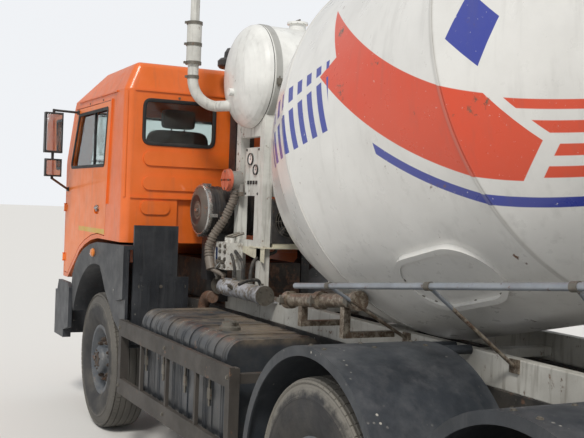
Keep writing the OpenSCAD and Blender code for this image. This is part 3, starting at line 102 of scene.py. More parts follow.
world = bpy.data.worlds.new("studio")
scene.world = world
world.use_nodes = True
tree = world.node_tree
sky = tree.nodes["Background"]
rays = tree.nodes.new("ShaderNodeLightPath")
seen = put(tree, "Math", {0: rays.outputs["Is Camera Ray"], 1: rays.outputs["Is Transmission Ray"]}, operation="MAXIMUM")
level = put(tree, "MapRange", {"Value": seen, "From Min": 0.0, "From Max": 1.0, "To Min": 0.62, "To Max": 0.92})
sky.inputs["Color"].default_value = (0.95, 0.97, 1.0, 1)
tree.links.new(level, sky.inputs["Strength"])

key = bpy.data.lights.new("key_lamp", "SUN")
key.energy = 2.1
key.angle = radians(12)
key.color = (1.0, 0.97, 0.92)
key_lamp = bpy.data.objects.new("key_lamp", key)
key_lamp.rotation_euler = Vector((0.62, -0.42, -0.75)).to_track_quat("-Z", "Y").to_euler()
scene.collection.objects.link(key_lamp)

# The camera stands low behind the truck's left rear wheels, leaning a little to one side
lens = bpy.data.cameras.new("camera")
lens.sensor_width = 36
lens.lens = 950 * 36 / 584
camera = bpy.data.objects.new("camera", lens)
scene.collection.objects.link(camera)
scene.camera = camera
yaw, pitch, roll = radians(-26.67), radians(-0.92), radians(-2.16)
ahead = Vector((cos(yaw) * cos(pitch), sin(yaw) * cos(pitch), sin(pitch)))
level_right = ahead.cross(Vector((0, 0, 1))).normalized()
level_down = -level_right.cross(ahead)
right = level_right * cos(roll) + level_down * sin(roll)
down = level_down * cos(roll) - level_right * sin(roll)
camera.matrix_world = Matrix.Translation((-4.531, 3.156, 1.806)) @ Matrix((right, -down, -ahead)).transposed().to_4x4()

# Chassis
# Two pressed channel rails with crossmembers, under the mixer's welded white subframe. The black
# chassis paint is dull with road dust and carries pale cement splashes.
DUST = shade("8f877b")
CEMENT = shade("b9b4aa")
RUST = shade("583c2c")


def coat(name, colour, rough=0.5, metal=0.0, dust=0.35, dust_colour=DUST, rust=0.0, splash=0.0, runs=0.0, shift=0.12,
         grain=0.15, size=1.0, clear=0.0, low=None, paint=None):
    """A painted, cast or moulded finish under dust, rust, cement splashes and dirty runs."""
    mat = bpy.data.materials.new(name)
    mat.use_nodes = True
    tree = mat.node_tree
    shader = tree.nodes["Principled BSDF"]
    place = put(tree, "TexCoord") and tree.nodes["Texture Coordinate"].outputs["Object"]

    def cloud(scale, detail=5.0, rough=0.6, spread=(1, 1, 1), offset=0.0):
        at = put(tree, "Mapping", {"Vector": place, "Location": (offset, offset * 1.7, -offset), "Scale": spread})
        return put(tree, "TexNoise", {"Vector": at, "Scale": scale * size, "Detail": detail, "Roughness": rough})

    def cut(value, low, high, least=0.0, most=1.0):
        return put(tree, "MapRange", {"Value": value, "From Min": low, "From Max": high, "To Min": least, "To Max": most},
                   interpolation_type="SMOOTHSTEP")

    def times(a, b, kind="MULTIPLY"):
        return put(tree, "Math", {0: a, 1: b}, operation=kind, use_clamp=True)

    def over(amount, a, b):
        mix = tree.nodes.new("ShaderNodeMix")
        mix.data_type = "RGBA"
        for index, value in {0: amount, 6: a, 7: b}.items():
            if isinstance(value, bpy.types.NodeSocket):
                tree.links.new(value, mix.inputs[index])
            else:
                mix.inputs[index].default_value = value
        return mix.outputs[2]

    dark = [c * (1 - shift) for c in colour[:3]] + [1]
    pale = [min(1, c * (1 + shift) + 0.01) for c in colour[:3]] + [1]
    look = over(cut(cloud(2.3), 0.35, 0.65), dark, pale)
    if paint:
        look = paint(tree, place, look, over)
    roughness = cut(cloud(9.0, offset=3.0), 0.3, 0.7, rough - 0.06, rough + 0.08)
    height = times(cloud(140.0, 3.0), grain)
    if runs:
        stained = times(cut(cloud(6.0, 4.0, 0.55, (3.2, 3.2, 0.35), 7.0), 0.52, 0.74), runs)
        look = over(stained, look, [c * 0.45 for c in dust_colour[:3]] + [1])
    if rust:
        eaten = cut(cloud(7.0, 9.0, 0.72, offset=11.0), 0.66 - 0.3 * rust, 0.72 - 0.28 * rust)
        look = over(eaten, look, over(cut(cloud(30.0), 0.4, 0.62), RUST, shade("7c5a44")))
        roughness = put(tree, "Math", {0: roughness, 1: times(eaten, 0.35)}, operation="MAXIMUM")
        height = times(height, times(eaten, 0.3), "ADD")
    if dust:
        normal = tree.nodes.new("ShaderNodeNewGeometry").outputs["Normal"]
        up = cut(put(tree, "SeparateXYZ", {0: normal}) and tree.nodes[-1].outputs["Z"], -0.2, 0.95, 0.35, 1.0)
        lying = times(cut(cloud(3.4, 7.0, 0.7, offset=5.0), 0.36, 0.68), up)
        if low:
            height_up = put(tree, "SeparateXYZ", {0: place}) and tree.nodes[-1].outputs["Z"]
            lying = times(lying, cut(height_up, low[0], low[1], 0.75, 0.0), "ADD")
        lying = times(lying, dust)
        look = over(lying, look, dust_colour)
        roughness = put(tree, "Math", {0: roughness, 1: times(lying, 0.9)}, operation="MAXIMUM")
    if splash:
        spots = put(tree, "TexVoronoi", {"Vector": place, "Scale": 26.0 * size, "Randomness": 1.0})
        thick = times(cut(spots, 0.1, 0.2, 1.0, 0.0), cut(cloud(4.0, 6.0, offset=17.0), 0.62 - 0.2 * splash, 0.7))
        look = over(thick, look, CEMENT)
        height = times(height, times(thick, 0.8), "ADD")
    tree.links.new(look, shader.inputs["Base Color"])
    tree.links.new(roughness, shader.inputs["Roughness"])
    relief = tree.nodes.new("ShaderNodeBump")
    relief.inputs["Strength"].default_value = 0.35
    relief.inputs["Distance"].default_value = 0.003
    tree.links.new(height, relief.inputs["Height"])
    tree.links.new(relief.outputs["Normal"], shader.inputs["Normal"])
    shader.inputs["Metallic"].default_value = metal
    if clear:
        shader.inputs["Coat Weight"].default_value = clear
        shader.inputs["Coat Roughness"].default_value = 0.12
    return mat


def dress(material, *names):
    for name in names:
        mesh = nodes[name].data
        mesh.materials.clear()
        mesh.materials.append(material)

def piece(name, bm, body, material, angle=32):
    """Makes a piece of a bmesh and lets it ride on a body."""
    bmesh.ops.recalc_face_normals(bm, faces=bm.faces)
    mesh = bpy.data.meshes.new(name)
    bm.to_mesh(mesh)
    bm.free()
    mesh.materials.append(material)
    mesh.shade_smooth()
    mesh.set_sharp_from_angle(angle=radians(angle))
    obj = bpy.data.objects.new(name, mesh)
    scene.collection.objects.link(obj)
    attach(obj, body)
    return obj


def block(bm, low, high):
    low, high = Vector(low), Vector(high)
    size = Matrix.Diagonal((*(high - low), 1))
    return bmesh.ops.create_cube(bm, size=1, matrix=Matrix.Translation((low + high) / 2) @ size)["verts"]


def rod(bm, a, b, r, end=None, segments=20):
    a, b = Vector(a), Vector(b)
    turn = (b - a).to_track_quat("Z", "Y").to_matrix().to_4x4()
    return bmesh.ops.create_cone(bm, cap_ends=True, segments=segments, radius1=r, radius2=r if end is None else end,
                                 depth=(b - a).length, matrix=Matrix.Translation((a + b) / 2) @ turn)["verts"]


def lathe(bm, profile, at, axis, segments=48, closed=True):
    """Turns a profile of (radius, height) about the axis through at."""
    at, axis = Vector(at), Vector(axis).normalized()
    side = axis.orthogonal().normalized()
    verts = [bm.verts.new(at + side * r + axis * h) for r, h in profile]
    pairs = list(zip(verts, verts[1:])) + ([(verts[-1], verts[0])] if closed else [])
    edges = [bm.edges.new(p) for p in pairs]
    start = len(bm.faces)
    bmesh.ops.spin(bm, geom=verts + edges, cent=at, axis=axis, angle=2 * pi, steps=segments, use_merge=True)
    bm.faces.ensure_lookup_table()
    return bm.faces[start:]


def bridged(bm, rings, close=False):
    """Closed rings of points, bridged one to the next."""
    hoops = []
    for ring in rings:
        verts = [bm.verts.new(p) for p in ring]
        hoops.append([bm.edges.new(pair) for pair in zip(verts, verts[1:] + verts[:1])])
    for a, b in zip(hoops, hoops[1:] + (hoops[:1] if close else [])):
        bmesh.ops.bridge_loops(bm, edges=a + b)


def around(at, axis, radius, count, start=0.0):
    """Points spaced round a circle."""
    at, axis = Vector(at), Vector(axis).normalized()
    side = axis.orthogonal().normalized() * radius
    return [at + Matrix.Rotation(start + 2 * pi * i / count, 3, axis) @ side for i in range(count)]


def bolts(bm, points, axis, r, h, sides=6):
    """A washer and a hexagon head at each point, standing up along axis."""
    axis = Vector(axis).normalized()
    for p in points:
        p = Vector(p)
        rod(bm, p - axis * 0.001, p + axis * h * 0.2, r * 1.45, segments=14)
        rod(bm, p, p + axis * h, r, segments=sides)


def both(points):
    return [(x, side * y, z) for x, y, z in points for side in (1, -1)]


chassis_black = coat("chassis_black", shade("1f2022"), rough=0.55, dust=0.55, rust=0.25, splash=0.4, size=1.2)
mixer_white = coat("mixer_white", shade("dcdcd8"), rough=0.42, dust=0.35, rust=0.16, splash=0.3, runs=0.4, clear=0.2)
worn_steel = coat("worn_steel", shade("3a332e"), rough=0.62, metal=0.35, dust=0.6, rust=0.6, grain=0.4)
bolt_steel = coat("bolt_steel", shade("6e6a62"), rough=0.5, metal=0.6, dust=0.45, rust=0.3, size=4.0)
dress(chassis_black, "frame_rails", "cab_mounts")
dress(mixer_white, "subframe")
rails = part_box("frame_rails")
rail_y, rail_top, rail_low = rails[1][1], rails[1][2], rails[0][2]
axle_x = sum(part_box("wheel_front_left")[i][0] for i in (0, 1)) / 2
axle_z = sum(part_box("wheel_front_left")[i][2] for i in (0, 1)) / 2
bm = bmesh.new()
x = rails[0][0] + 0.12
while x < rails[1][0] - 0.1:
    for side in (1, -1):
        bolts(bm, [(x, side * rail_y, rail_low + z) for z in (0.06, 0.2)], (0, side, 0), 0.011, 0.012)
    x += 0.31
piece("rail_bolts", bm, "root", bolt_steel)

# Axles and springs
# Cast and forged steel, never washed: oily in the middle, rusty at the ends. Each front spring pack is
# held to its axle by a pair of U-bolts over a clamp plate.
dress(worn_steel, "front_axle", "rear_axles", "leaf_springs", "engine", "prop_shafts", "knuckle_left",
      "knuckle_right", "drum_gearbox")
bm = bmesh.new()
front_springs = [(axle_x, side * 0.39) for side in (1, -1)]
for x, y in front_springs:
    top = axle_z - 0.055 + 0.11
    block(bm, (x - 0.07, y - 0.05, top - 0.002), (x + 0.07, y + 0.05, top + 0.016))
    for dx in (-0.052, 0.052):
        for dy in (-0.046, 0.046):
            rod(bm, (x + dx, y + dy, axle_z - 0.17), (x + dx, y + dy, top + 0.045), 0.009, segments=10)
piece("front_u_bolts", bm, "root", bolt_steel)

# Wheels
# Radial tyres on disc wheels, single in front and in pairs behind. The front treads are ribs cut
# by fine gaps; the rear ones are blocks. Pale mud sits on the shoulders and the discs.


def radius_from(tree, place, x, z):
    flat = put(tree, "VectorMath", {0: place, 1: (1, 0, 1)}, operation="MULTIPLY")
    return put(tree, "VectorMath", {0: flat, 1: (x, 0, z)}, operation="DISTANCE").node.outputs["Value"]


def ramp(tree, value, low, high, least=0.0, most=1.0):
    return put(tree, "MapRange", {"Value": value, "From Min": low, "From Max": high, "To Min": least, "To Max": most},
               interpolation_type="SMOOTHSTEP")


def calc(tree, kind, a, b=0.0, clamp=False):
    return put(tree, "Math", {0: a, 1: b}, operation=kind, use_clamp=clamp)


def tyre_coat(name, x, mud, crust):
    def muddy(tree, place, base, over):
        radius = radius_from(tree, place, x, axle_z)
        clumps = put(tree, "TexNoise", {"Vector": place, "Scale": 16.0, "Detail": 8.0, "Roughness": 0.7})
        edge = calc(tree, "ADD", radius, calc(tree, "MULTIPLY", clumps, 0.12))
        dry = calc(tree, "MULTIPLY", ramp(tree, edge, crust, crust + 0.045), mud, True)
        look = over(dry, base, shade("827e76"))
        rings = calc(tree, "SINE", calc(tree, "MULTIPLY", radius, 420.0))
        return over(calc(tree, "MULTIPLY", ramp(tree, rings, 0.2, 1.0), 0.12), look, shade("101012"))
    return coat(name, shade("29292b"), rough=0.82, dust=0.5, dust_colour=shade("7d776c"), grain=0.5, paint=muddy)


def tyre(bm, at, segments, blocks):
    """One tyre on the axle through at. Blocks are cut one by one; ribs stay joined round the tyre."""
    side = [(0.2545, 0.09), (0.268, 0.103), (0.292, 0.116), (0.322, 0.129), (0.356, 0.1365), (0.396, 0.139),
            (0.43, 0.136), (0.434, 0.138), (0.442, 0.1375), (0.447, 0.1325), (0.47, 0.1275), (0.495, 0.118)]
    crown = [(0.509, 0.108), (0.514, 0.07), (0.515, 0.026)]
    half = side + crown
    profile = half + [(r, -h) for r, h in reversed(half)]
    faces = lathe(bm, profile, at, (0, 1, 0), segments)
    middle = Vector(at)
    rows = {}
    for f in faces:
        c = f.calc_center_median() - middle
        if hypot(c.x, c.z) > 0.498:
            rows.setdefault(round(c.y, 3), []).append(f)
    for y, row in rows.items():
        if blocks or abs(y) > 0.06:
            bmesh.ops.inset_individual(bm, faces=row, thickness=0.0045 if blocks else 0.0025, depth=0.012)
        else:
            bmesh.ops.inset_region(bm, faces=row, thickness=0.005, depth=0.012, use_boundary=True,
                                   use_even_offset=True)


def disc(name, node, body, material):
    """The wheel disc and rim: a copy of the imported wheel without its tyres."""
    bm = bmesh.new()
    bm.from_mesh(nodes[node].data)
    bmesh.ops.remove_doubles(bm, verts=bm.verts, dist=0.00002)
    low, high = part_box(node)
    x, z = (low[0] + high[0]) / 2, (low[2] + high[2]) / 2
    tyre_verts = [v for v in bm.verts if hypot(v.co.x - x, v.co.z - z) > 0.272]
    bmesh.ops.delete(bm, geom=tyre_verts, context="VERTS")
    return piece(name, bm, body, material, 28)


def hub(bm, x, side, y, rear):
    """Nuts round the hub, its cap's bolts and the lock ring, outboard of y."""
    out = (0, side, 0)
    face, cap = (0.014, 0.19) if rear else (0.06, 0.13)
    at = lambda d: (x, y + side * d, axle_z)
    bolts(bm, around(at(face), out, 0.152, 10), out, 0.0165, 0.026)
    for p in around(at(face), out, 0.152, 10):
        rod(bm, p, p + Vector(out) * 0.036, 0.009, segments=10)
    bolts(bm, around(at(cap - 0.004), out, 0.07, 8, 0.2), out, 0.008, 0.012)
    lathe(bm, [(0.03, cap - 0.002), (0.055, cap - 0.002), (0.052, cap + 0.006), (0.03, cap + 0.01)], (x, y, axle_z),
          out, 24)


disc_grey = coat("disc_grey", shade("4b5056"), rough=0.5, dust=0.7, dust_colour=shade("837f79"), rust=0.22, splash=0.3,
                 size=2.0)
nut_rust = coat("nut_rust", shade("443830"), rough=0.7, metal=0.3, dust=0.6, dust_colour=shade("7b756c"), rust=0.28, size=6.0)
tyre_coats = {}
for node in ("wheel_front_left", "wheel_front_right", "wheel_rear_1_left", "wheel_rear_1_right",
             "wheel_rear_2_left", "wheel_rear_2_right"):
    low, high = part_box(node)
    x = (low[0] + high[0]) / 2
    y = (low[1] + high[1]) / 2
    side = 1 if y > 0 else -1
    rear = "rear" in node
    if rear:
        y = side * 0.925
    else:
        y = side * 1.015
    body = [b for b, names in frame["record"]["behaviour"]["bodies"].items() if node in names][0]
    if round(x, 2) not in tyre_coats:
        tyre_coats[round(x, 2)] = tyre_coat(f"tyre_{len(tyre_coats)}", x, 0.85 if rear else 0.36, 0.5 if rear else 0.46)
    bm = bmesh.new()
    for dy in ((-0.159, 0.159) if rear else (0,)):
        tyre(bm, (x, y + dy, axle_z), 60 if rear else 84, rear)
    rubber_piece = piece(node.replace("wheel", "tyre"), bm, body, tyre_coats[round(x, 2)], 30)
    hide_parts(node)
    disc(node.replace("wheel", "disc"), node, body, disc_grey)
    bm = bmesh.new()
    hub(bm, x, side, y, rear)
    piece(node.replace("wheel", "nuts"), bm, body, nut_rust)

# Fuel tank and side boxes
# A pressed steel tank strapped to the left rail, its shell stiffened by pairs of raised beads. Its
# top is worn bare and brown where people climb over it; the battery box and air tanks lie opposite.


def trodden(tree, place, base, over):
    height = put(tree, "SeparateXYZ", {0: place}).node.outputs["Z"]
    patches = put(tree, "TexNoise", {"Vector": place, "Scale": 3.2, "Detail": 9.0, "Roughness": 0.72})
    worn = calc(tree, "MULTIPLY", ramp(tree, height, 1.0, 1.05), ramp(tree, patches, 0.38, 0.62), True)
    return over(worn, base, shade("6d6255"))


tank_black = coat("tank_black", shade("262b31"), rough=0.42, dust=0.26, rust=0.12, paint=trodden, clear=0.15)
dress(tank_black, "fuel_tank")
dress(chassis_black, "side_boxes")
guard_brown = coat("guard_brown", shade("37332f"), rough=0.6, dust=0.5, dust_colour=shade("5f5850"), rust=0.2)
dress(guard_brown, "side_guards")
tank_low, tank_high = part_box("fuel_tank")


def hoop(bm, x, low, high, corner, width, out):
    """A raised bead round a box with round corners, lying across the truck at x."""
    path = []
    for cy, cz, start in ((high[0] - corner, high[1] - corner, 0), (low[0] + corner, high[1] - corner, 90),
                          (low[0] + corner, low[1] + corner, 180), (high[0] - corner, low[1] + corner, 270)):
        for step in range(7):
            a = radians(start + step * 15)
            path.append((cy, cz, cos(a), sin(a)))
    bridged(bm, [[(x + dx, cy + c * (corner + dr), cz + s * (corner + dr)) for cy, cz, c, s in path]
                 for dx, dr in ((-width / 2, -0.002), (-width * 0.3, out * 0.8), (0, out), (width * 0.3, out * 0.8),
                                (width / 2, -0.002))])


bm = bmesh.new()
inner_low, inner_high = (tank_low[1] + 0.006, tank_low[2] + 0.006), (tank_high[1] - 0.006, tank_high[2] - 0.006)
inner_low = (0.56, inner_low[1])
for x in (axle_x - 2.56, axle_x - 2.30, axle_x - 2.17, axle_x - 1.91, axle_x - 1.78, axle_x - 1.50, axle_x - 1.40, axle_x - 1.18):
    for dx in (-0.013, 0.013):
        hoop(bm, x + dx, inner_low, inner_high, 0.1, 0.018, 0.006)
piece("tank_beads", bm, "root", tank_black)
bm = bmesh.new()
cap_at = (axle_x - 2.24, 0.98, tank_high[2] - 0.004)
lathe(bm, [(0.0, 0.0), (0.062, 0.0), (0.062, 0.022), (0.05, 0.03), (0.05, 0.05), (0.0, 0.054)], cap_at, (0, 0, 1), 32, False)
block(bm, (cap_at[0] - 0.07, 0.972, cap_at[2] + 0.05), (cap_at[0] + 0.07, 0.988, cap_at[2] + 0.062))
for x in (axle_x - 2.405, axle_x - 2.015, axle_x - 1.625, axle_x - 1.275):
    block(bm, (x - 0.02, tank_high[1] - 0.002, 0.70), (x + 0.02, tank_high[1] + 0.012, 0.76))
    rod(bm, (x, tank_high[1] + 0.006, 0.66), (x, tank_high[1] + 0.006, 0.82), 0.007, segments=10)
piece("tank_cap_and_strap_bolts", bm, "root", bolt_steel)
bm = bmesh.new()
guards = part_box("side_guards")
for side in (1, -1):
    for x in (guards[0][0] + 0.03, axle_x - 1.75, guards[1][0] - 0.03):
        for z in (0.475, 0.885):
            bolts(bm, [(x, side * (guards[1][1] - 0.001), z)], (0, side, 0), 0.01, 0.009)
piece("guard_bolts", bm, "root", bolt_steel)

# Bumper and wings
# Moulded plastic bumper with blank slots, and mudguards of ribbed sheet behind the front wheels.
# The plastic has gone grey-blue and carries dried splashes; the half-round rear fenders too.


def faded(code, name, dust=0.45):
    return coat(name, shade(code), rough=0.46, dust=dust, dust_colour=shade("77787a"), splash=0.25, grain=0.3, shift=0.2,
                runs=0.3)


plastic_grey = faded("2c3036", "bumper_plastic")
guard_plastic = faded("202328", "mudguard_plastic", 0.3)
fender_plastic = faded("20262d", "fender_plastic", 0.3)
dress(plastic_grey, "front_bumper")
dress(guard_plastic, "front_wings")
dress(fender_plastic, "rear_fenders")
bm = bmesh.new()
for side in (1, -1):
    for x in (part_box("wheel_rear_1_left"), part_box("wheel_rear_2_left")):
        mid = (x[0][0] + x[1][0]) / 2
        for dx in (-0.06, 0.06):
            for y in (0.68, 0.95, 1.2):
                bolts(bm, [(mid + dx, side * y, axle_z + sqrt(0.6655 ** 2 - dx ** 2) - 0.001)], (dx, 0, 0.665), 0.009, 0.006)
piece("fender_bolts", bm, "root", bolt_steel)
bm = bmesh.new()
for side in (1, -1):
    for y in (0.72, 0.90, 1.06):
        for z in (0.82, 1.17):
            bolts(bm, [(axle_x - 0.7535, side * y, z)], (-1, 0, 0), 0.009, 0.006)
piece("splash_bolts", bm, "root", bolt_steel)

# Cab
# A welded steel cab that tilts forward, its doors, front flap and roof separate pressings in faded
# orange enamel. Windows sit in black rubber profiles; door locks are bare metal.


def door_stripe(tree, place, base, over):
    parts = put(tree, "SeparateXYZ", {0: place}).node
    x, y, z = parts.outputs["X"], calc(tree, "ABSOLUTE", parts.outputs["Y"]), parts.outputs["Z"]
    ends = calc(tree, "MULTIPLY", ramp(tree, x, axle_x - 0.13, axle_x - 0.126), ramp(tree, x, axle_x + 0.66, axle_x + 0.67, 1.0, 0.0))
    band = calc(tree, "MULTIPLY", ramp(tree, z, 1.515, 1.517), ramp(tree, z, 1.553, 1.555, 1.0, 0.0))
    outside = ramp(tree, y, 1.157, 1.158)
    scratched = ramp(tree, put(tree, "TexNoise", {"Vector": place, "Scale": 34.0, "Detail": 6.0}), 0.3, 0.42)
    shown = calc(tree, "MULTIPLY", calc(tree, "MULTIPLY", ends, band), calc(tree, "MULTIPLY", outside, scratched))
    return over(shown, base, shade("c8a01e"))


cab_orange = coat("cab_orange", shade("e0681a"), rough=0.4, dust=0.09, shift=0.05, runs=0.16, clear=0.25, low=(1.1, 1.75))
# Painted sunlight: the doors take a lighter, yellower and slightly cleaner copy of the cab orange, standing in for the
# sun on the truck's side.
sunlit_door_orange = coat("sunlit_door_orange", shade("e8741b"), rough=0.4, dust=0.07, shift=0.05, runs=0.14, clear=0.25, low=(1.1, 1.75),
                   paint=door_stripe)
dress(cab_orange, "cab_shell", "cab_roof", "service_flap")
dress(sunlit_door_orange, "door_left", "door_right")
seal_rubber = coat("seal_rubber", shade("17181a"), rough=0.6, dust=0.25, dust_colour=shade("6a655e"), size=3.0)
grille_black = coat("grille_black", shade("1b1c1f"), rough=0.45, dust=0.4, size=3.0)
bright_metal = coat("bright_metal", shade("9a9a98"), rough=0.28, metal=0.9, dust=0.2, rust=0.12, size=4.0)
dress(grille_black, "front_grille")

glass = bpy.data.materials.new("cab_glass")
glass.use_nodes = True
pane = glass.node_tree.nodes["Principled BSDF"]
smear = put(glass.node_tree, "TexNoise", {"Vector": put(glass.node_tree, "TexCoord").node.outputs["Object"], "Scale": 5.0,
                                          "Detail": 7.0})
glass.node_tree.links.new(ramp(glass.node_tree, smear, 0.45, 0.75, 0.02, 0.2), pane.inputs["Roughness"])
pane.inputs["Base Color"].default_value = shade("dfe9e6")
pane.inputs["Transmission Weight"].default_value = 1.0
pane.inputs["IOR"].default_value = 1.45
dress(glass, "cab_glass", "door_glass_left", "door_glass_right")


def frame_seal(name, body, outline, axis, width, out, material):
    """A rubber profile that follows a closed outline in a flat plane and stands out from it along axis."""
    axis = Vector(axis).normalized()
    centre = sum(outline, Vector()) / len(outline)
    asides = []
    for i, p in enumerate(outline):
        aside = (outline[(i + 1) % len(outline)] - outline[i - 1]).cross(axis).normalized()
        asides.append(aside if aside.dot(p - centre) > 0 else -aside)
    bm = bmesh.new()
    bridged(bm, [[p + aside * w * width + axis * h for p, aside in zip(outline, asides)]
                 for w, h in ((0.5, 0.0), (0.42, out * 0.8), (0.0, out), (-0.45, out * 0.55), (-0.5, -0.006))])
    return piece(name, bm, body, material, 60)


def round_corners(points, radius, steps=6):
    """Rounds the corners of a closed outline of 3-D points in one plane."""
    pts = [Vector(p) for p in points]
    out = []
    for i, p in enumerate(pts):
        a = (pts[i - 1] - p).normalized()
        b = (pts[(i + 1) % len(pts)] - p).normalized()
        for k in range(steps + 1):
            t = k / steps
            out.append((p + a * radius * (1 - t)).lerp(p, t).lerp(p.lerp(p + b * radius, t), t))
    return out


cab_rear = axle_x - 0.59
cab_front = cab_rear + 1.9
cab_side = 1.16
for side, word in ((1, "left"), (-1, "right")):
    rear = [(cab_rear, side * y, z) for y, z in ((0.466, 2.21), (1.016, 2.21), (1.016, 2.53), (0.466, 2.53))]
    frame_seal(f"rear_window_seal_{word}", "cab", round_corners(rear, 0.07), (-1, 0, 0), 0.028, 0.012, seal_rubber)
    door_low = cab_rear + 0.38
    window = [(door_low + 0.15, 2.05), (door_low + 0.08, 2.49), (cab_front - 0.56, 2.49), (cab_front - 0.335, 2.09),
              (cab_front - 0.335, 2.05)]
    ring = round_corners([(x, side * cab_side, z) for x, z in window], 0.03)
    frame_seal(f"door_window_seal_{word}", f"door_{word}", ring, (0, side, 0), 0.026, 0.006, seal_rubber)
    bm = bmesh.new()
    block(bm, (door_low + 0.50, side * (cab_side - 0.034), 2.04), (door_low + 0.52, side * (cab_side - 0.012), 2.50))
    piece(f"quarter_window_bar_{word}", bm, f"door_{word}", seal_rubber)
    bm = bmesh.new()
    hx, hz = door_low + 0.25, 1.668
    rod(bm, (hx + 0.045, side * (cab_side - 0.012), hz + 0.045), (hx + 0.045, side * (cab_side + 0.012), hz + 0.045), 0.026)
    rod(bm, (hx + 0.045, side * (cab_side + 0.01), hz + 0.045), (hx + 0.045, side * (cab_side + 0.016), hz + 0.045), 0.015)
    block(bm, (hx + 0.04, side * (cab_side - 0.004), hz + 0.036), (hx + 0.135, side * (cab_side + 0.006), hz + 0.056))
    piece(f"door_lock_{word}", bm, f"door_{word}", bright_metal)

slope = Vector((0.63, 0, 0.34)).normalized()
screen_x = lambda z: cab_front - 0.06 - (z - 1.93) * 0.34 / 0.63
screen = round_corners([(screen_x(z), y, z) for y, z in ((-0.96, 1.96), (0.96, 1.96), (0.96, 2.53), (-0.96, 2.53))], 0.05)
frame_seal("windscreen_seal", "cab", screen, slope, 0.04, 0.012, seal_rubber)
bm = bmesh.new()
for y in (-0.52, 0.34):
    foot = Vector((screen_x(1.925), y, 1.925)) + slope * 0.012
    tip = Vector((screen_x(2.12), y + 0.36, 2.12)) + slope * 0.03
    rod(bm, foot - slope * 0.02, foot + slope * 0.03, 0.016)
    rod(bm, foot + slope * 0.02, tip, 0.006, 0.004, 10)
    rod(bm, tip + Vector((0.0, -0.26, -0.002)), tip + Vector((0.0, 0.22, 0.002)), 0.005, segments=10)
    block(bm, tip + Vector((-0.006, -0.28, -0.018)), tip + Vector((0.004, 0.24, -0.004)))
piece("wipers", bm, "cab", seal_rubber)
bm = bmesh.new()
for y in (-0.66, -0.3, 0, 0.3, 0.66):
    lathe(bm, [(0.0, -0.02), (0.045, -0.02), (0.045, 0.012), (0.032, 0.03), (0.0, 0.034)],
          (cab_front - 0.60, y, 2.748), (0.5, 0, 1), 24, False)
roof_lamps = piece("roof_marker_lamps", bm, "cab", coat("amber_lens", shade("d06a14"), rough=0.15, clear=0.8, dust=0.15))
bm = bmesh.new()
for x in (cab_front - 0.9, cab_front - 1.3):
    bolts(bm, [(x, 1.161, 2.561)], (0, 1, 0), 0.006, 0.004)
    bolts(bm, [(x, -1.161, 2.561)], (0, -1, 0), 0.006, 0.004)
for y in (0.62, 0.75):
    bolts(bm, [(cab_rear - 0.0005, y, 2.558)], (-1, 0, 0), 0.007, 0.005)
piece("cab_seam_bolts", bm, "cab", bolt_steel)

# Mirrors and lamps
# Two mirrors a side in ribbed black housings on tube arms. The lamps are moulded lenses: clear in
# the bumper, amber on the wings and at the roof, and red, amber and white on the underrun bar.
mirror_black = coat("mirror_black", shade("1d1e21"), rough=0.4, dust=0.3, size=3.0)
dress(mirror_black, "mirror_left", "mirror_right")
mirror_glass = coat("mirror_glass", shade("c9d2d8"), rough=0.05, metal=0.9, dust=0.12, shift=0.02, grain=0.0)
mirror_x = axle_x + 0.8
for side, word in ((1, "left"), (-1, "right")):
    bm = bmesh.new()
    for low_z, high_z, y0, y1, x in ((2.16, 2.50, 1.30, 1.45, mirror_x - 0.06), (1.96, 2.11, 1.30, 1.44, mirror_x - 0.05)):
        ring = round_corners([(x - 0.0005, side * y, z) for y, z in
                              ((y0 + 0.012, low_z + 0.014), (y1 - 0.012, low_z + 0.014), (y1 - 0.012, high_z - 0.014),
                               (y0 + 0.012, high_z - 0.014))], 0.02)
        verts = [bm.verts.new(p) for p in ring]
        bm.faces.new(verts)
    bm.normal_update()
    bmesh.ops.solidify(bm, geom=bm.faces[:], thickness=side * 0.002)
    piece(f"mirror_glass_{word}", bm, f"door_{word}", mirror_glass)
    bm = bmesh.new()
    for low_z, high_z, y0, y1, x in ((2.16, 2.50, 1.30, 1.45, mirror_x - 0.06), (1.96, 2.11, 1.30, 1.44, mirror_x - 0.05)):
        outline = [(y0 + 0.006, low_z + 0.006), (y1 - 0.006, low_z + 0.006), (y1 - 0.006, high_z - 0.006), (y0 + 0.006, high_z - 0.006)]
        pts = round_corners([(x, side * y, z) for y, z in outline], 0.022)
        centre = sum(pts, Vector()) / len(pts)
        bridged(bm, [[centre + (p - centre) * k + Vector((-h, 0, 0)) for p in pts]
                     for k, h in ((1.0, -0.001), (0.995, 0.006), (0.96, 0.008), (0.92, 0.001))])
    piece(f"mirror_rim_{word}", bm, f"door_{word}", mirror_black)


def lenses(tree, place, base, over):
    parts = put(tree, "SeparateXYZ", {0: place}).node
    x, y = parts.outputs["X"], calc(tree, "ABSOLUTE", parts.outputs["Y"])
    rear = ramp(tree, x, -1.0, -0.9, 1.0, 0.0)
    look = over(ramp(tree, x, 3.6, 3.7, 1.0, 0.0), base, shade("d8791c"))
    look = over(rear, look, shade("8e1512"))
    look = over(calc(tree, "MULTIPLY", rear, ramp(tree, y, 0.930, 0.932)), look, shade("c9641a"))
    return over(calc(tree, "MULTIPLY", rear, ramp(tree, y, 1.030, 1.032)), look, shade("c9c9c4"))


lens_plastic = coat("lens_plastic", shade("c9cdd2"), rough=0.12, dust=0.25, shift=0.05, clear=0.9, paint=lenses)
dress(lens_plastic, "lamps")
bm = bmesh.new()
for p in both([(axle_x + 0.086, 1.1805, 1.362)]):
    side = 1 if p[1] > 0 else -1
    for r in (0.012, 0.022):
        lathe(bm, [(r, 0.0185), (r + 0.003, 0.0185), (r + 0.003, 0.0235 - r * 0.08), (r, 0.0235 - r * 0.08)], p, (0, side, 0), 24)
piece("wing_lamp_rings", bm, "root", lens_plastic)

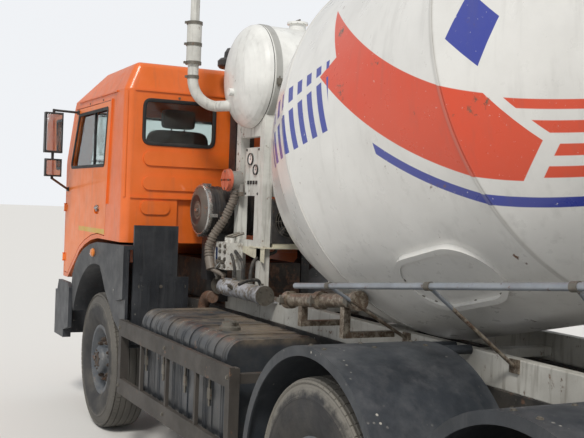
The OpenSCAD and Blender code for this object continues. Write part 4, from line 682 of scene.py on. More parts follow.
# Seats
# Two cloth seats on black plinths, crowned and sewn in channels, each with a headrest. In front of
# them stand the grey moulded dashboard and a four-spoke wheel with a padded boss.
soft_cloth = coat("seat_cloth", shade("4b4a4c"), rough=0.92, dust=0.12, grain=0.9, size=1.5)
trim_grey = coat("trim_grey", shade("3a3b3d"), rough=0.6, dust=0.3, grain=0.4, size=2.0)


def cushion(name, low, high, across, channels, lean=0.0):
    """A crowned cushion that fills a box, with sewn channels that run along one axis."""
    low, high = Vector(low), Vector(high)
    half, centre = (high - low) / 2, (low + high) / 2
    bm = bmesh.new()
    bmesh.ops.create_cube(bm, size=2)
    bmesh.ops.subdivide_edges(bm, edges=bm.edges[:], cuts=23, use_grid_fill=True)
    for v in bm.verts:
        u = v.co / sum(abs(c) ** 7 for c in v.co) ** (1 / 7)
        sewn = min(abs(u[across] - k) for k in channels) if channels else 1
        sink = 0.035 * max(0, 1 - sewn / 0.07) ** 2
        pull = [1 - 0.05 * u[(i + 1) % 3] ** 2 * u[(i + 2) % 3] ** 2 - sink for i in range(3)]
        v.co = centre + Vector([u[i] * half[i] * pull[i] for i in range(3)])
        v.co.x -= lean * (v.co.z - low.z)
    piece(name, bm, "cab", soft_cloth, 180)


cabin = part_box("cab_interior")
floor_z = cabin[0][2]
seat_x = cabin[0][0] - 0.40
for side, word in ((1, "left"), (-1, "right")):
    y0, y1 = sorted((side * 0.335, side * 0.845))
    cushion(f"seat_{word}", (seat_x + 0.435, y0, floor_z + 0.17), (seat_x + 0.92, y1, floor_z + 0.33), 1, (-0.55, 0.0, 0.55))
    cushion(f"seat_back_{word}", (seat_x + 0.42, y0, floor_z + 0.29), (seat_x + 0.54, y1, floor_z + 0.85), 2,
            (-0.6, -0.2, 0.2, 0.6), 0.03)
    h0, h1 = sorted((side * 0.455, side * 0.725))
    cushion(f"headrest_{word}", (seat_x + 0.422, h0, floor_z + 0.865), (seat_x + 0.498, h1, floor_z + 1.015), 1, ())
    bm = bmesh.new()
    block(bm, (seat_x + 0.46, y0 + 0.05, floor_z), (seat_x + 0.88, y1 - 0.05, floor_z + 0.185))
    for y in (h0 + 0.08, h1 - 0.08):
        rod(bm, (seat_x + 0.46, y, floor_z + 0.80), (seat_x + 0.46, y, floor_z + 0.88), 0.006, segments=12)
    piece(f"seat_plinth_{word}", bm, "cab", trim_grey)
bm = bmesh.new()
bm.from_mesh(nodes["cab_interior"].data)
bmesh.ops.remove_doubles(bm, verts=bm.verts, dist=0.00002)
bmesh.ops.delete(bm, geom=[v for v in bm.verts if v.co.x < seat_x + 0.94], context="VERTS")
dash = piece("dashboard_and_wheel", bm, "cab", trim_grey, 30)
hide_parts("cab_interior")
bm = bmesh.new()
for y in (0.50, 0.60, 0.70):
    lathe(bm, [(0.0, 0.0), (0.04, 0.0), (0.04, 0.006), (0.034, 0.004), (0.0, 0.004)], (seat_x + 1.492, y, 1.862), (-1, 0, 0.3), 24,
          False)
rod(bm, (seat_x + 1.25, 0.12, floor_z), (seat_x + 1.18, 0.12, floor_z + 0.52), 0.011, 0.008, 14)
rod(bm, (seat_x + 1.184, 0.12, floor_z + 0.50), (seat_x + 1.176, 0.12, floor_z + 0.56), 0.026, 0.018, 18)
piece("gauges_and_gear_lever", bm, "cab", grille_black)

# Air cleaner and intake
# A ribbed black barrel lying across the truck behind the cab, its end cover bolted on inside a bright
# rim, and the flat duct that rises behind the cab to the cap above the roof.
cleaner_black = coat("cleaner_black", shade("232326"), rough=0.42, dust=0.45, dust_colour=shade("6d6356"), rust=0.1, size=2.5)
dress(cleaner_black, "air_cleaner")
cleaner = (axle_x - 0.83, 0.0, 1.735)
cap_brown = coat("cleaner_cover", shade("57504a"), rough=0.55, dust=0.5, dust_colour=shade("7b6a56"), rust=0.3, size=3.0)
bm = bmesh.new()
for y in (0.235, 0.275, 0.315, 0.40, 0.44, 0.48, 0.52, 0.56):
    lathe(bm, [(0.169, -0.011), (0.1775, -0.007), (0.179, 0.0), (0.1775, 0.007), (0.169, 0.011)],
          (cleaner[0], y, cleaner[2]), (0, 1, 0), 64)
piece("cleaner_ribs", bm, "root", cleaner_black)
bm = bmesh.new()
lathe(bm, [(0.0, 0.478), (0.04, 0.482), (0.05, 0.476), (0.10, 0.482), (0.112, 0.4925), (0.135, 0.484), (0.172, 0.461),
           (0.172, 0.45), (0.0, 0.455)], (cleaner[0], 0.19, cleaner[2]), (0, 1, 0), 72, False)
piece("cleaner_cover_steps", bm, "root", cap_brown)
bm = bmesh.new()
lathe(bm, [(0.172, 0.448), (0.1845, 0.43), (0.188, 0.44), (0.1865, 0.458), (0.178, 0.466), (0.170, 0.464)],
      (cleaner[0], 0.19, cleaner[2]), (0, 1, 0), 72)
for p in around((cleaner[0], 0.62, cleaner[2]), (0, 1, 0), 0.186, 4, 0.6):
    block(bm, p - Vector((0.012, 0.035, 0.012)), p + Vector((0.012, 0.03, 0.012)))
rod(bm, (cleaner[0], 0.665, cleaner[2]), (cleaner[0], 0.682, cleaner[2]), 0.012, segments=6)
block(bm, (cleaner[0] - 0.028, 0.673, cleaner[2] - 0.004), (cleaner[0] + 0.028, 0.681, cleaner[2] + 0.004))
piece("cleaner_rim_and_clips", bm, "root", coat("bare_rim", shade("b4b3b0"), rough=0.25, metal=0.8, dust=0.15, rust=0.1, size=4.0))
bm = bmesh.new()
stack = (axle_x - 0.745, 0.38)
for z in (2.60, 2.66, 2.72, 2.78):
    lathe(bm, [(0.058, -0.012), (0.067, -0.008), (0.067, 0.008), (0.058, 0.012)], (*stack, z), (0, 0, 1), 40)
for i in range(24):
    a = 2 * pi * i / 24
    out = Vector((cos(a), sin(a), 0))
    rod(bm, Vector((*stack, 2.812)) + out * 0.122, Vector((*stack, 2.852)) + out * 0.122, 0.008, segments=8)
piece("intake_cap_ribs", bm, "root", cleaner_black)

# Hydraulic unit
# The oil cooler is black, with a fan behind a wire guard. Beside it the valve block is pale paint
# with a tinted sight glass, and the pale oil cylinder lies low along the deck.


def unit_colours(tree, place, base, over):
    parts = put(tree, "SeparateXYZ", {0: place}).node
    block_here = ramp(tree, parts.outputs["X"], axle_x - 1.30, axle_x - 1.298)
    low_here = ramp(tree, parts.outputs["Z"], 1.28, 1.282, 1.0, 0.0)
    grime = put(tree, "TexNoise", {"Vector": place, "Scale": 22.0, "Detail": 7.0, "Roughness": 0.7})
    pale = over(ramp(tree, grime, 0.48, 0.66), shade("c9c8c2"), shade("8c8478"))
    return over(low_here, over(block_here, base, pale), over(ramp(tree, grime, 0.42, 0.6), shade("aeb1b8"), shade("70695f")))


unit_paint = coat("hydraulic_paint", shade("202125"), rough=0.45, dust=0.35, rust=0.2, size=3.0, paint=unit_colours)
dress(unit_paint, "hydraulic_unit")
cooler_x = axle_x - 1.51
fan = (0.252, 1.682)
bm = bmesh.new()
for r in (0.03, 0.05, 0.07, 0.09, 0.108):
    lathe(bm, [(r - 0.0018, -0.002), (r + 0.0018, -0.002), (r + 0.0018, 0.0018), (r - 0.0018, 0.0018)],
          (cooler_x - 0.004 + 0.02 * (0.108 - r), *fan), (-1, 0, 0), 40)
for p in around((cooler_x - 0.003, *fan), (1, 0, 0), 0.114, 8):
    rod(bm, p, (cooler_x - 0.004, *fan), 0.0022, segments=8)
piece("fan_guard", bm, "root", bolt_steel)
bm = bmesh.new()
for i in range(13):
    z = 1.545 + i * 0.0235
    block(bm, (cooler_x + 0.164, 0.135, z), (cooler_x + 0.17, 0.375, z + 0.006))
bolts(bm, [(cooler_x - 0.0005, y, z) for y in (0.137, 0.366) for z in (1.545, 1.82)], (-1, 0, 0), 0.008, 0.006)
piece("cooler_fins_and_bolts", bm, "root", unit_paint)
sight = (axle_x - 1.005, 0.574, 1.42)
bm = bmesh.new()
block(bm, (sight[0] - 0.021, 0.5735, sight[2] - 0.056), (sight[0] + 0.021, 0.576, sight[2] + 0.056))
piece("sight_glass", bm, "root", coat("oil_glass", shade("2e4474"), rough=0.08, dust=0.25, clear=1.0, grain=0.0, size=6.0))
bm = bmesh.new()
bolts(bm, [(axle_x + dx, 0.5795, z) for dx in (-1.17, -1.08) for z in (1.35, 1.40, 1.45, 1.49)], (0, 1, 0), 0.011, 0.012)
for dx in (-1.15, -1.07):
    rod(bm, (axle_x + dx, 0.57, 1.378), (axle_x + dx, 0.602, 1.378), 0.016, segments=16)
for dx in (-1.14, -1.06):
    rod(bm, (axle_x + dx, 0.52, 1.54), (axle_x + dx, 0.52, 1.56), 0.017, segments=6)
    rod(bm, (axle_x + dx, 0.52, 1.556), (axle_x + dx - 0.03, 0.44, 1.585), 0.009, segments=12)
piece("valve_fittings", bm, "root", bolt_steel)



def pipe(name, points, r, material, body="root"):
    """A bent pipe through points, its bends rounded."""
    curve = bpy.data.curves.new(name, "CURVE")
    curve.dimensions = "3D"
    curve.bevel_depth = r
    curve.bevel_resolution = 3
    curve.use_fill_caps = True
    pts = [Vector(p) for p in points]
    path = [pts[0]]
    for a, p, b in zip(pts, pts[1:], pts[2:]):
        bend = min(r * 4, (a - p).length * 0.45, (b - p).length * 0.45)
        start, end = p + (a - p).normalized() * bend, p + (b - p).normalized() * bend
        path += [start.lerp(p, t).lerp(p.lerp(end, t), t) for t in (0, 0.2, 0.4, 0.6, 0.8, 1)]
    path.append(pts[-1])
    line = curve.splines.new("POLY")
    line.points.add(len(path) - 1)
    for spot, p in zip(line.points, path):
        spot.co = (*p, 1)
    obj = bpy.data.objects.new(name, curve)
    scene.collection.objects.link(obj)
    curve.materials.append(material)
    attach(obj, body)
    return obj


hose_black = coat("hose_black", shade("1c1c1e"), rough=0.6, dust=0.45, size=4.0)
x, y = axle_x - 1.28, 0.53
pipe("pressure_line_1", [(x + 0.04, y, 1.25), (x + 0.04, y, 1.32), (x + 0.04, y + 0.015, 1.40), (x + 0.10, y + 0.01, 1.44)], 0.010, hose_black)
pipe("pressure_line_2", [(x - 0.10, y, 1.25), (x - 0.10, y, 1.38), (x - 0.02, y, 1.43), (x + 0.10, y - 0.02, 1.46)], 0.012, hose_black)
pipe("pressure_line_3", [(x - 0.22, y, 1.25), (x - 0.22, y, 1.34), (x - 0.16, y - 0.05, 1.42), (x - 0.14, 0.30, 1.47), (x - 0.14, 0.30, 1.55)],
     0.012, hose_black)
pipe("return_line", [(x + 0.28, y + 0.03, 1.25), (x + 0.28, y + 0.06, 1.30), (x + 0.22, y + 0.075, 1.33), (x + 0.20, y + 0.045, 1.378)], 0.009,
     bright_metal)
pipe("drain_line", [(x - 0.40, y, 1.25), (x - 0.40, y + 0.02, 1.30), (x - 0.44, y + 0.12, 1.30), (x - 0.47, y + 0.19, 1.276)], 0.011, hose_black)
bm = bmesh.new()
for dx in (0.04, -0.10, -0.22, 0.28, -0.40):
    rod(bm, (x + dx, y + (0.03 if dx == 0.28 else 0), 1.245), (x + dx, y + (0.03 if dx == 0.28 else 0), 1.275), 0.018, segments=6)
for dx in (0.31, -0.46):
    lathe(bm, [(0.0, 0.0), (0.066, 0.0), (0.066, 0.008), (0.0, 0.008)], (x + dx - 0.004, y, 1.2), (1, 0, 0), 32, False)
for dx, way in ((-0.4605, -1),):
    bolts(bm, around((x + dx, y, 1.2), (way, 0, 0), 0.045, 6), (way, 0, 0), 0.008, 0.008)
rod(bm, (x - 0.06, y + 0.055, 1.21), (x - 0.06, y + 0.09, 1.235), 0.013, segments=6)
rod(bm, (x - 0.10, y + 0.085, 1.238), (x - 0.02, y + 0.085, 1.238), 0.005, segments=10)
piece("oil_cylinder_fittings", bm, "root", bolt_steel)
bm = bmesh.new()
plate = [bm.verts.new(p) for p in ((cooler_x - 0.03, 0.455, 1.495), (cooler_x + 0.34, 0.455, 1.495), (cooler_x + 0.34, 0.455, 1.455),
                                   (cooler_x - 0.03, 0.455, 1.40))]
bm.faces.new(plate)
bm.normal_update()
bmesh.ops.solidify(bm, geom=bm.faces[:], thickness=0.006)
block(bm, (cooler_x - 0.03, 0.13, 1.495), (cooler_x + 0.20, 0.461, 1.503))
block(bm, (cooler_x + 0.005, 0.15, 1.503), (cooler_x + 0.03, 0.37, 1.532))
block(bm, (cooler_x + 0.13, 0.15, 1.503), (cooler_x + 0.155, 0.37, 1.532))
piece("cooler_bracket", bm, "root", coat("bracket_cream", shade("cfcab4"), rough=0.5, dust=0.35, rust=0.2, splash=0.3, size=2.0))

# Pump and hose
# The pump's salmon cover plate has a cross milled in it. A ribbed hose drops from the pump past the
# valve block and bends in to the filter line.


def pump_colours(tree, place, base, over):
    parts = put(tree, "SeparateXYZ", {0: place}).node
    cover = calc(tree, "MULTIPLY", ramp(tree, parts.outputs["Y"], 0.5382, 0.5386), ramp(tree, parts.outputs["Z"], 1.86, 1.862))
    hose_here = ramp(tree, parts.outputs["Z"], 1.875, 1.877, 1.0, 0.0)
    return over(cover, over(hose_here, base, shade("6d645b")), shade("c4654a"))


pump_paint = coat("pump_paint", shade("8f8d88"), rough=0.5, dust=0.4, rust=0.22, size=3.0, paint=pump_colours)
dress(pump_paint, "pump_and_hose")
hose_brown = coat("hose_brown", shade("6d645b"), rough=0.75, dust=0.5, size=4.0)
pump_x = axle_x - 1.10
route = [Vector(p) for p in ((pump_x - 0.005, 0.49, 1.90), (pump_x + 0.005, 0.50, 1.81), (pump_x + 0.045, 0.545, 1.68),
                             (pump_x + 0.10, 0.605, 1.56), (pump_x + 0.12, 0.63, 1.47), (pump_x + 0.105, 0.63, 1.40))]
bm = bmesh.new()
for a, b in zip(route, route[1:]):
    for i in range(int((b - a).length / 0.022)):
        lathe(bm, [(0.025, -0.007), (0.0335, -0.003), (0.0335, 0.003), (0.025, 0.007)],
              a + (b - a).normalized() * (0.011 + i * 0.022), b - a, 24)
piece("hose_ribs", bm, "root", hose_brown)
bm = bmesh.new()
bolts(bm, around((pump_x, 0.5735, 1.957), (0, 1, 0), 0.06, 4, pi / 4), (0, 1, 0), 0.006, 0.005)
piece("pump_cover_bolts", bm, "root", bolt_steel)

# Exhaust and pipes
# The exhaust elbow is rusty brown, the long control pipe galvanised, and the drain pipe under it
# crusted with old cement between pale clamps.
rusty = coat("rusty_pipe", shade("6f5546"), rough=0.75, metal=0.2, dust=0.55, rust=0.75, size=3.0)
dress(rusty, "exhaust")


def pipe_colours(tree, place, base, over):
    parts = put(tree, "SeparateXYZ", {0: place}).node
    drain = ramp(tree, parts.outputs["Y"], 0.778, 0.78, 1.0, 0.0)
    lumps = put(tree, "TexNoise", {"Vector": place, "Scale": 30.0, "Detail": 8.0, "Roughness": 0.75})
    return over(drain, base, over(ramp(tree, lumps, 0.44, 0.6), shade("6b5c4e"), shade("a39a8c")))


galvanised = coat("galvanised", shade("9aa0a8"), rough=0.4, metal=0.6, dust=0.35, rust=0.22, splash=0.5, size=2.5,
                  paint=pipe_colours)
dress(galvanised, "control_pipe")
bm = bmesh.new()
top, end = Vector((axle_x - 2.46, 0.72, 1.255)), Vector((axle_x - 3.26, 0.72, 1.335))
for t in (0.0, 0.46, 0.94):
    mid = top.lerp(end, t + 0.03)
    block(bm, mid + Vector((-0.02, 0.046, -0.014)), mid + Vector((0.02, 0.075, 0.014)))
    rod(bm, mid + Vector((0, 0.062, -0.028)), mid + Vector((0, 0.062, 0.028)), 0.007, segments=10)
for t in (0.15, 0.5, 0.85):
    p = Vector((axle_x - 2.9, 0.9, 1.378)).lerp(Vector((axle_x - 5.3, 0.9, 1.6)), t)
    rod(bm, p - Vector((0.018, 0, -0.002)), p + Vector((0.018, 0, -0.002)), 0.019, segments=24)
piece("pipe_clamps", bm, "root", bolt_steel)
bm = bmesh.new()
for z in (0.931, 0.991):
    block(bm, (axle_x - 0.79, 0.62, z - 0.012), (axle_x - 0.77, 0.655, z + 0.012))
piece("exhaust_clamp_lugs", bm, "root", rusty)

# Water tank
# A white dished tank lies across the truck on two straps, with a manhole lid on top. Near each end a grey ring
# is painted shade, standing in for the shadow along the tank's curved rim, beside a thin dark seam. Its filler
# pipe beside the cab is stained and jointed by clamped sleeves.


def tank_shade_rings_and_seam(tree, place, base, over):
    y = calc(tree, "ABSOLUTE", put(tree, "SeparateXYZ", {0: place}).node.outputs["Y"])
    # band: a grey ring near each end, painted shade that stands in for the shadow along the tank's curved rim; line is
    # the thin dark seam beside it
    band = calc(tree, "COMPARE", y, 0.4205)
    band.node.inputs[2].default_value = 0.0225
    line = calc(tree, "COMPARE", y, 0.456)
    line.node.inputs[2].default_value = 0.003
    return over(line, over(band, base, shade("a9a9a5")), shade("3a3a3a"))


tank_white = coat("tank_white", shade("e2e2de"), rough=0.36, dust=0.18, rust=0.1, runs=0.22, clear=0.3, paint=tank_shade_rings_and_seam)
pipe_white = coat("pipe_white", shade("c9c8c2"), rough=0.5, dust=0.5, dust_colour=shade("8f8a80"), rust=0.2, runs=0.5, size=2.0)
dress(tank_white, "water_tank")
dress(pipe_white, "water_pipes")
tank_mid = Vector((axle_x - 1.25, 0, 2.68))
bm = bmesh.new()
for y in (-0.4205, 0.4195):
    for a in (100, 260):
        p = tank_mid + Vector((0.366 * sin(radians(a)), y, 0.366 * cos(radians(a))))
        block(bm, p - Vector((0.012, 0.018, 0.02)), p + Vector((0.012, 0.018, 0.02)))
        rod(bm, p - Vector((0, 0, 0.035)), p + Vector((0, 0, 0.035)), 0.007, segments=10)
bolts(bm, around(tank_mid + Vector((0, 0.12, 0.4)), (0, 0, 1), 0.066, 10), (0, 0, 1), 0.007, 0.007)
rod(bm, tank_mid + Vector((-0.03, 0.12, 0.405)), tank_mid + Vector((-0.03, 0.12, 0.43)), 0.006, segments=10)
rod(bm, tank_mid + Vector((0.03, 0.12, 0.405)), tank_mid + Vector((0.03, 0.12, 0.43)), 0.006, segments=10)
rod(bm, tank_mid + Vector((-0.036, 0.12, 0.43)), tank_mid + Vector((0.036, 0.12, 0.43)), 0.006, segments=10)
piece("tank_strap_lugs_and_lid", bm, "root", bolt_steel)
bm = bmesh.new()
pipe_at = (axle_x - 0.99, 0.80)
for z, r in ((2.672, 0.040), (2.77, 0.0535), (3.05, 0.0535), (2.90, 0.0535)):
    lathe(bm, [(r - 0.002, -0.011), (r + 0.003, -0.011), (r + 0.003, 0.011), (r - 0.002, 0.011)], (*pipe_at, z), (0, 0, 1), 32)
    block(bm, (pipe_at[0] - 0.01, pipe_at[1] + r, z - 0.008), (pipe_at[0] + 0.01, pipe_at[1] + r + 0.018, z + 0.008))
piece("filler_pipe_clamps", bm, "root", bolt_steel)

# Stand and gauges
# The stand between cab and drum is white, grimy towards the deck. Its panel faces left, with two
# round gauges and a row of blank switches.
stand_white = coat("stand_white", shade("d3d3cd"), rough=0.45, dust=0.35, dust_colour=shade("8c8272"), rust=0.22, splash=0.3,
                   runs=0.5, low=(1.15, 1.75), size=1.6)
dress(stand_white, "drum_stand", "subframe", "roller_stand")
dial_face = coat("dial_face", shade("e4e4e0"), rough=0.2, dust=0.15, clear=1.0, size=6.0)
bm_dials, bm_rims = bmesh.new(), bmesh.new()
for dx, z, r in ((-1.28, 2.105, 0.036), (-1.37, 2.03, 0.030)):
    at = (axle_x + dx, 0.456, z)
    lathe(bm_dials, [(0.0, 0.0), (r, 0.0), (r, 0.006), (0.0, 0.006)], at, (0, 1, 0), 32, False)
    lathe(bm_rims, [(r - 0.002, 0.0), (r + 0.006, 0.0), (r + 0.006, 0.012), (r - 0.002, 0.01)], at, (0, 1, 0), 32)
    block(bm_rims, (at[0] - 0.0015, 0.461, z - 0.004), (at[0] + 0.0015, 0.4635, z + r * 0.75))
    rod(bm_rims, (at[0], 0.461, z), (at[0], 0.465, z), 0.005, segments=12)
for i in range(4):
    x = axle_x - 1.385 + i * 0.045
    block(bm_rims, (x - 0.011, 0.4555, 1.93), (x + 0.011, 0.463, 1.955))
bolts(bm_rims, [(axle_x + dx, 0.4555, z) for dx in (-1.405, -1.205) for z in (1.865, 2.17)], (0, 1, 0), 0.007, 0.005)
piece("gauge_dials", bm_dials, "root", dial_face)
piece("gauge_rims_and_switches", bm_rims, "root", grille_black)

# Drum
# A welded drum on a slanted axis: dished front head, cylinder and long rear cone with a machined ring.
# White enamel carries painted bars, bands and a diamond in orange-red and blue; cement cakes the mouth.
head = Vector((axle_x - 1.95, 0, 1.90772))
tilt = radians(12.85)
drum_axis = Vector((-cos(tilt), 0, sin(tilt)))
PAINT_RED = shade("dd4a25")
PAINT_BLUE = shade("39459f")


def drum_paint(tree, place, base, over):
    local = put(tree, "Mapping", {"Vector": place, "Location": head, "Rotation": (0, tilt - pi / 2, 0)}, vector_type="TEXTURE")
    parts = put(tree, "SeparateXYZ", {0: local}).node
    y, along = calc(tree, "ABSOLUTE", parts.outputs["Y"]), parts.outputs["Z"]
    turn = calc(tree, "MULTIPLY", calc(tree, "ARCTAN2", y, parts.outputs["X"]), 180 / pi)
    far = put(tree, "VectorMath", {0: put(tree, "VectorMath", {0: local, 1: (1, 1, 0)}, operation="MULTIPLY")},
              operation="LENGTH").node.outputs["Value"]

    def within(value, low, high, soft=0.004):
        return calc(tree, "MULTIPLY", ramp(tree, value, low, low + soft), ramp(tree, value, high - soft, high, 1.0, 0.0))

    def line(a, b, c):
        """a * along + b * turn + c"""
        return calc(tree, "ADD", calc(tree, "ADD", calc(tree, "MULTIPLY", along, a), calc(tree, "MULTIPLY", turn, b)), c)

    height = within(turn, 77.0, 95.5, 0.15)
    slanted = calc(tree, "FRACT", line(10.0, -0.028, 0.0))
    bars = calc(tree, "MULTIPLY", calc(tree, "MULTIPLY", height, within(along, 0.76, 1.56)), within(slanted, 0.08, 0.62, 0.04))
    gap = within(line(6.0, 1.0, 0.0), 88.4, 91.0, 0.2)
    bars = calc(tree, "MULTIPLY", bars, calc(tree, "SUBTRACT", 1.0, gap))
    across = line(-0.62, 0.0165, -0.235)
    bend = calc(tree, "MULTIPLY", calc(tree, "SINE", calc(tree, "MULTIPLY", along, 2.2)), 0.10)
    across = calc(tree, "ADD", across, bend)
    point = calc(tree, "ADD", along, calc(tree, "MULTIPLY", calc(tree, "ABSOLUTE", across), 0.9))
    broad = calc(tree, "MULTIPLY", within(across, -0.17, 0.17), within(point, 1.62, 2.72))
    tail = calc(tree, "MULTIPLY", within(calc(tree, "FRACT", calc(tree, "MULTIPLY", across, 11.0)), 0.12, 0.7, 0.05),
                calc(tree, "MULTIPLY", within(across, -0.16, 0.17), within(point, 2.78, 3.08)))
    thin = calc(tree, "MULTIPLY", within(across, 0.235, 0.285), within(along, 1.86, 3.1))
    diamond = calc(tree, "ADD", calc(tree, "MULTIPLY", calc(tree, "ABSOLUTE", line(1.0, 0.0, -2.575)), 1 / 0.125),
                   calc(tree, "MULTIPLY", calc(tree, "ABSOLUTE", line(0.0, 1.0, -90.0)), 1 / 8.5))
    diamond = ramp(tree, diamond, 0.985, 1.0, 1.0, 0.0)
    worn = ramp(tree, put(tree, "TexNoise", {"Vector": place, "Scale": 60.0, "Detail": 8.0, "Roughness": 0.7}), 0.3, 0.36)
    skin = calc(tree, "MINIMUM", calc(tree, "MINIMUM", line(0.2975, 0.0, 0.732), line(-0.2458, 0.0, 1.6415)), 1.055)
    outside = ramp(tree, calc(tree, "SUBTRACT", far, skin), -0.006, -0.004)
    worn = calc(tree, "MULTIPLY", worn, outside)
    red = calc(tree, "MAXIMUM", broad, tail)
    blue = calc(tree, "MAXIMUM", calc(tree, "MAXIMUM", bars, thin), diamond)
    look = over(calc(tree, "MULTIPLY", red, worn), base, PAINT_RED)
    look = over(calc(tree, "MULTIPLY", blue, worn), look, PAINT_BLUE)
    smears = put(tree, "TexNoise", {"Vector": put(tree, "Mapping", {"Vector": local, "Scale": (3.0, 3.0, 0.7)}), "Scale": 2.2,
                                    "Detail": 8.0, "Roughness": 0.65})
    cake = calc(tree, "ADD", ramp(tree, along, 3.3, 4.45, 0.0, 0.34), smears)
    look = over(ramp(tree, cake, 0.72, 0.86), look, CEMENT)
    seam = calc(tree, "MAXIMUM", within(along, 1.068, 1.104, 0.016), within(along, 2.368, 2.404, 0.016))
    look = over(calc(tree, "MULTIPLY", seam, 0.3), look, shade("8c8880"))
    ring = calc(tree, "MULTIPLY", within(along, 3.398, 3.502), ramp(tree, far, 0.84, 0.846))
    return over(ring, look, shade("77726b"))


drum_white = coat("drum_white", shade("e4e3df"), rough=0.32, dust=0.14, rust=0.07, runs=0.1, shift=0.04, clear=0.35,
                  paint=drum_paint)
dress(drum_white, "drum_shell")
blade_steel = coat("blade_steel", shade("8d8880"), rough=0.7, metal=0.2, dust=0.8, dust_colour=CEMENT, rust=0.45, splash=0.6)
dress(blade_steel, "drum_blades")
bm = bmesh.new()
for s in (1.086, 2.386):
    lathe(bm, [(1.0565, -0.008), (1.0585, 0.0), (1.0565, 0.008)], head + drum_axis * s, drum_axis, 128)
piece("drum_weld_seams", bm, "drum", drum_white)


def on_drum(s, degrees_round, r):
    """A point on the drum: s along its axis, round from its top towards the left, at radius r."""
    a = radians(degrees_round)
    up = Vector((sin(tilt), 0, cos(tilt)))
    return head + drum_axis * s + (up * cos(a) + Vector((0, 1, 0)) * sin(a)) * r


bm = bmesh.new()
hatch_s, hatch_turn = 1.814, 142
hatch_out = on_drum(hatch_s, hatch_turn, 1) - on_drum(hatch_s, hatch_turn, 0)
hatch_side = drum_axis.cross(hatch_out)
for i in range(16):
    a = 2 * pi * i / 16
    along, aside = cos(a) * 0.292, sin(a) * 0.163
    if abs(cos(a)) > 0.05:
        along = (0.13 + 0.163 * abs(cos(a))) * (1 if cos(a) > 0 else -1)
    r = sqrt(1.0535 ** 2 - aside ** 2)
    p = head + drum_axis * (hatch_s + along) + hatch_out * (r + 0.004) + hatch_side * aside
    bolts(bm, [p], hatch_out, 0.009, 0.008)
piece("drum_hatch_bolts", bm, "drum", bolt_steel)
bm = bmesh.new()
gearbox_axis = -drum_axis
bolts(bm, around(head + gearbox_axis * 0.1005, gearbox_axis, 0.255, 16), gearbox_axis, 0.013, 0.014)
piece("gearbox_flange_bolts", bm, "root", bolt_steel)

# Rollers and blades
# Two steel rollers carry the ring, their faces polished by it, and the bearing brackets are bolted.
roller_steel = coat("roller_steel", shade("8b8780"), rough=0.35, metal=0.7, dust=0.4, rust=0.3, size=3.0)
dress(roller_steel, "roller_left", "roller_right")
up = Vector((sin(tilt), 0, cos(tilt)))
for side, word in ((1, "left"), (-1, "right")):
    a = radians(32)
    centre = head + drum_axis * 3.45 + (up * -cos(a) + Vector((0, side, 0)) * sin(a)) * 0.9953
    bm = bmesh.new()
    for way in (1, -1):
        lathe(bm, [(0.09, 0.054), (0.112, 0.054), (0.112, 0.058), (0.09, 0.058)], centre, drum_axis * way, 40)
        bolts(bm, around(centre + drum_axis * way * 0.0545, drum_axis * way, 0.065, 6), drum_axis * way, 0.009, 0.01)
    piece(f"roller_caps_{word}", bm, f"roller_{word}", roller_steel)
bm = bmesh.new()
for side in (1, -1):
    a = radians(32)
    centre = head + drum_axis * 3.45 + (up * -cos(a) + Vector((0, side, 0)) * sin(a)) * 0.9953
    for way in (1, -1):
        lathe(bm, [(0.03, 0.128), (0.052, 0.128), (0.048, 0.142), (0.03, 0.144)], centre, drum_axis * way, 32)
        bolts(bm, around(centre + drum_axis * way * 0.1305, drum_axis * way, 0.06, 4, 0.7), drum_axis * way, 0.008, 0.01)
piece("roller_bearings", bm, "root", bolt_steel)

# Hopper and collector
# Plate funnels above and below the drum's mouth, stiffened by a rim bar. Both are white paint under
# layers of old cement, bare and rusty where the stones strike.


def caked(tree, place, base, over):
    flow = put(tree, "Mapping", {"Vector": place, "Scale": (4.0, 4.0, 0.9)})
    streaks = put(tree, "TexNoise", {"Vector": flow, "Scale": 2.6, "Detail": 9.0, "Roughness": 0.68})
    lumps = put(tree, "TexNoise", {"Vector": place, "Scale": 14.0, "Detail": 9.0, "Roughness": 0.75})
    look = over(ramp(tree, streaks, 0.45, 0.62), base, CEMENT)
    return over(ramp(tree, lumps, 0.62, 0.72), look, shade("7c766d"))


chute_white = coat("chute_white", shade("d8d7d1"), rough=0.5, dust=0.35, rust=0.3, splash=0.5, runs=0.4, grain=0.5,
                   paint=caked)
dress(chute_white, "charging_hopper", "discharge_collector", "chute", "chute_extension", "chute_swivel", "chute_post")
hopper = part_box("charging_hopper")
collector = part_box("discharge_collector")


def rim(bm, x0, x1, y, z, r):
    corners = [(x0, -y, z), (x1, -y, z), (x1, y, z), (x0, y, z)]
    for a, b in zip(corners, corners[1:] + corners[:1]):
        rod(bm, a, b, r, segments=14)


bm = bmesh.new()
rim(bm, hopper[0][0] - 0.004, -3.454, 0.484, hopper[1][2] - 0.014, 0.012)
rim(bm, hopper[0][0] - 0.002, -3.452, 0.482, hopper[1][2] - 0.150, 0.008)
for y in (-0.3, 0, 0.3):
    block(bm, (hopper[0][0] - 0.012, y - 0.004, hopper[1][2] - 0.15), (hopper[0][0] + 0.002, y + 0.004, hopper[1][2] - 0.014))
for x in (-3.85, -3.65):
    for side in (1, -1):
        y0, y1 = sorted((side * 0.478, side * 0.492))
        block(bm, (x - 0.004, y0, hopper[1][2] - 0.15), (x + 0.004, y1, hopper[1][2] - 0.014))
piece("hopper_rim", bm, "root", chute_white)

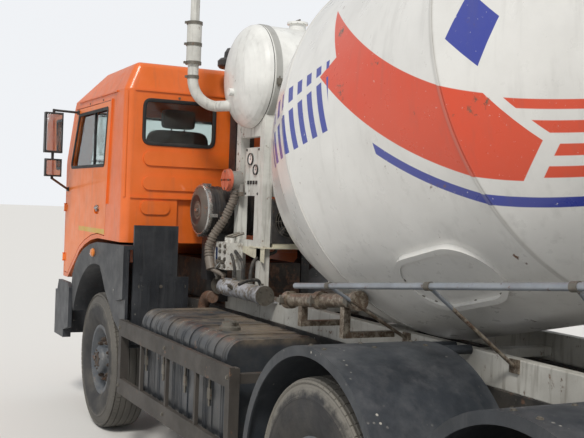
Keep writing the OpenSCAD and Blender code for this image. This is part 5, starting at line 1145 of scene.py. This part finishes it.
# Rear portal and ladder
# A box-section portal with the hopper's stays, the underrun bar with its lamp boxes, and a ladder of
# round rungs to a chequered step.
portal_white = coat("portal_white", shade("d6d5cf"), rough=0.45, dust=0.4, rust=0.25, splash=0.6, runs=0.5, low=(0.6, 1.4))
dress(portal_white, "rear_bar", "ladder")
bm = bmesh.new()
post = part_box("rear_bar")
for side in (1, -1):
    for z in (1.085, 1.14, 2.09, 3.50):
        bolts(bm, [(post[0][0] + 0.0195, side * (0.43 - 0.01), z)], (-1, 0, 0), 0.011, 0.011)
    for y in (0.37, 0.41):
        bolts(bm, [(post[0][0] - 0.0005 + 0.02, side * y, 0.90)], (-1, 0, 0), 0.010, 0.010)
piece("portal_bolts", bm, "root", bolt_steel)
bm = bmesh.new()
for side in (1, -1):
    y = side * 1.10
    lathe(bm, [(0.0, 0.0), (0.03, 0.0), (0.03, 0.005), (0.024, 0.008), (0.0, 0.008)], (post[0][0] - 0.0005, side * 0.62, 0.62),
          (-1, 0, 0), 32, False)
reflector_red = coat("reflector_red", shade("9c1612"), rough=0.15, dust=0.3, clear=0.9, size=8.0)
piece("rear_reflectors", bm, "root", reflector_red)
bm = bmesh.new()
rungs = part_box("ladder")
x0, x1 = rungs[0][0] + 0.02, rungs[1][0] - 0.02
for i in range(11):
    x = x0 + (x1 - x0) * (i + 0.5) / 11
    for j in range(12):
        y = -1.17 + j * 0.034
        rod(bm, (x - 0.008, y - 0.006, 2.091), (x + 0.008, y + 0.006, 2.091), 0.002, segments=6)
piece("step_chequers", bm, "root", portal_white)

# Chute and jack
# A half-round steel trough on a fork that swivels, with a second length folded over it. The screw
# jack under it has a plain barrel, a greased rod and a cranked handle hub.
jack_steel = coat("jack_steel", shade("7d7972"), rough=0.4, metal=0.6, dust=0.5, rust=0.35, splash=0.5, size=3.0)
dress(jack_steel, "jack_barrel", "jack_rod")

# Edges
# Folded and welded plate has no knife edges, so a small round runs along the corners of the plain
# plate and box pieces and catches the light there.
for name, width in (("front_bumper", 0.006), ("subframe", 0.005), ("drum_stand", 0.004), ("side_guards", 0.003),
                    ("rear_bar", 0.004), ("side_boxes", 0.006), ("frame_rails", 0.004), ("roller_stand", 0.004),
                    ("hydraulic_unit", 0.003), ("service_flap", 0.003), ("cab_mounts", 0.003), ("front_wings", 0.003)):
    weld = nodes[name].modifiers.new("weld", "WELD")
    weld.merge_threshold = 0.00002
    bevel = nodes[name].modifiers.new("bevel", "BEVEL")
    bevel.width = width
    bevel.segments = 2
    bevel.limit_method = "ANGLE"
    bevel.angle_limit = radians(40)

low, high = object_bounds()
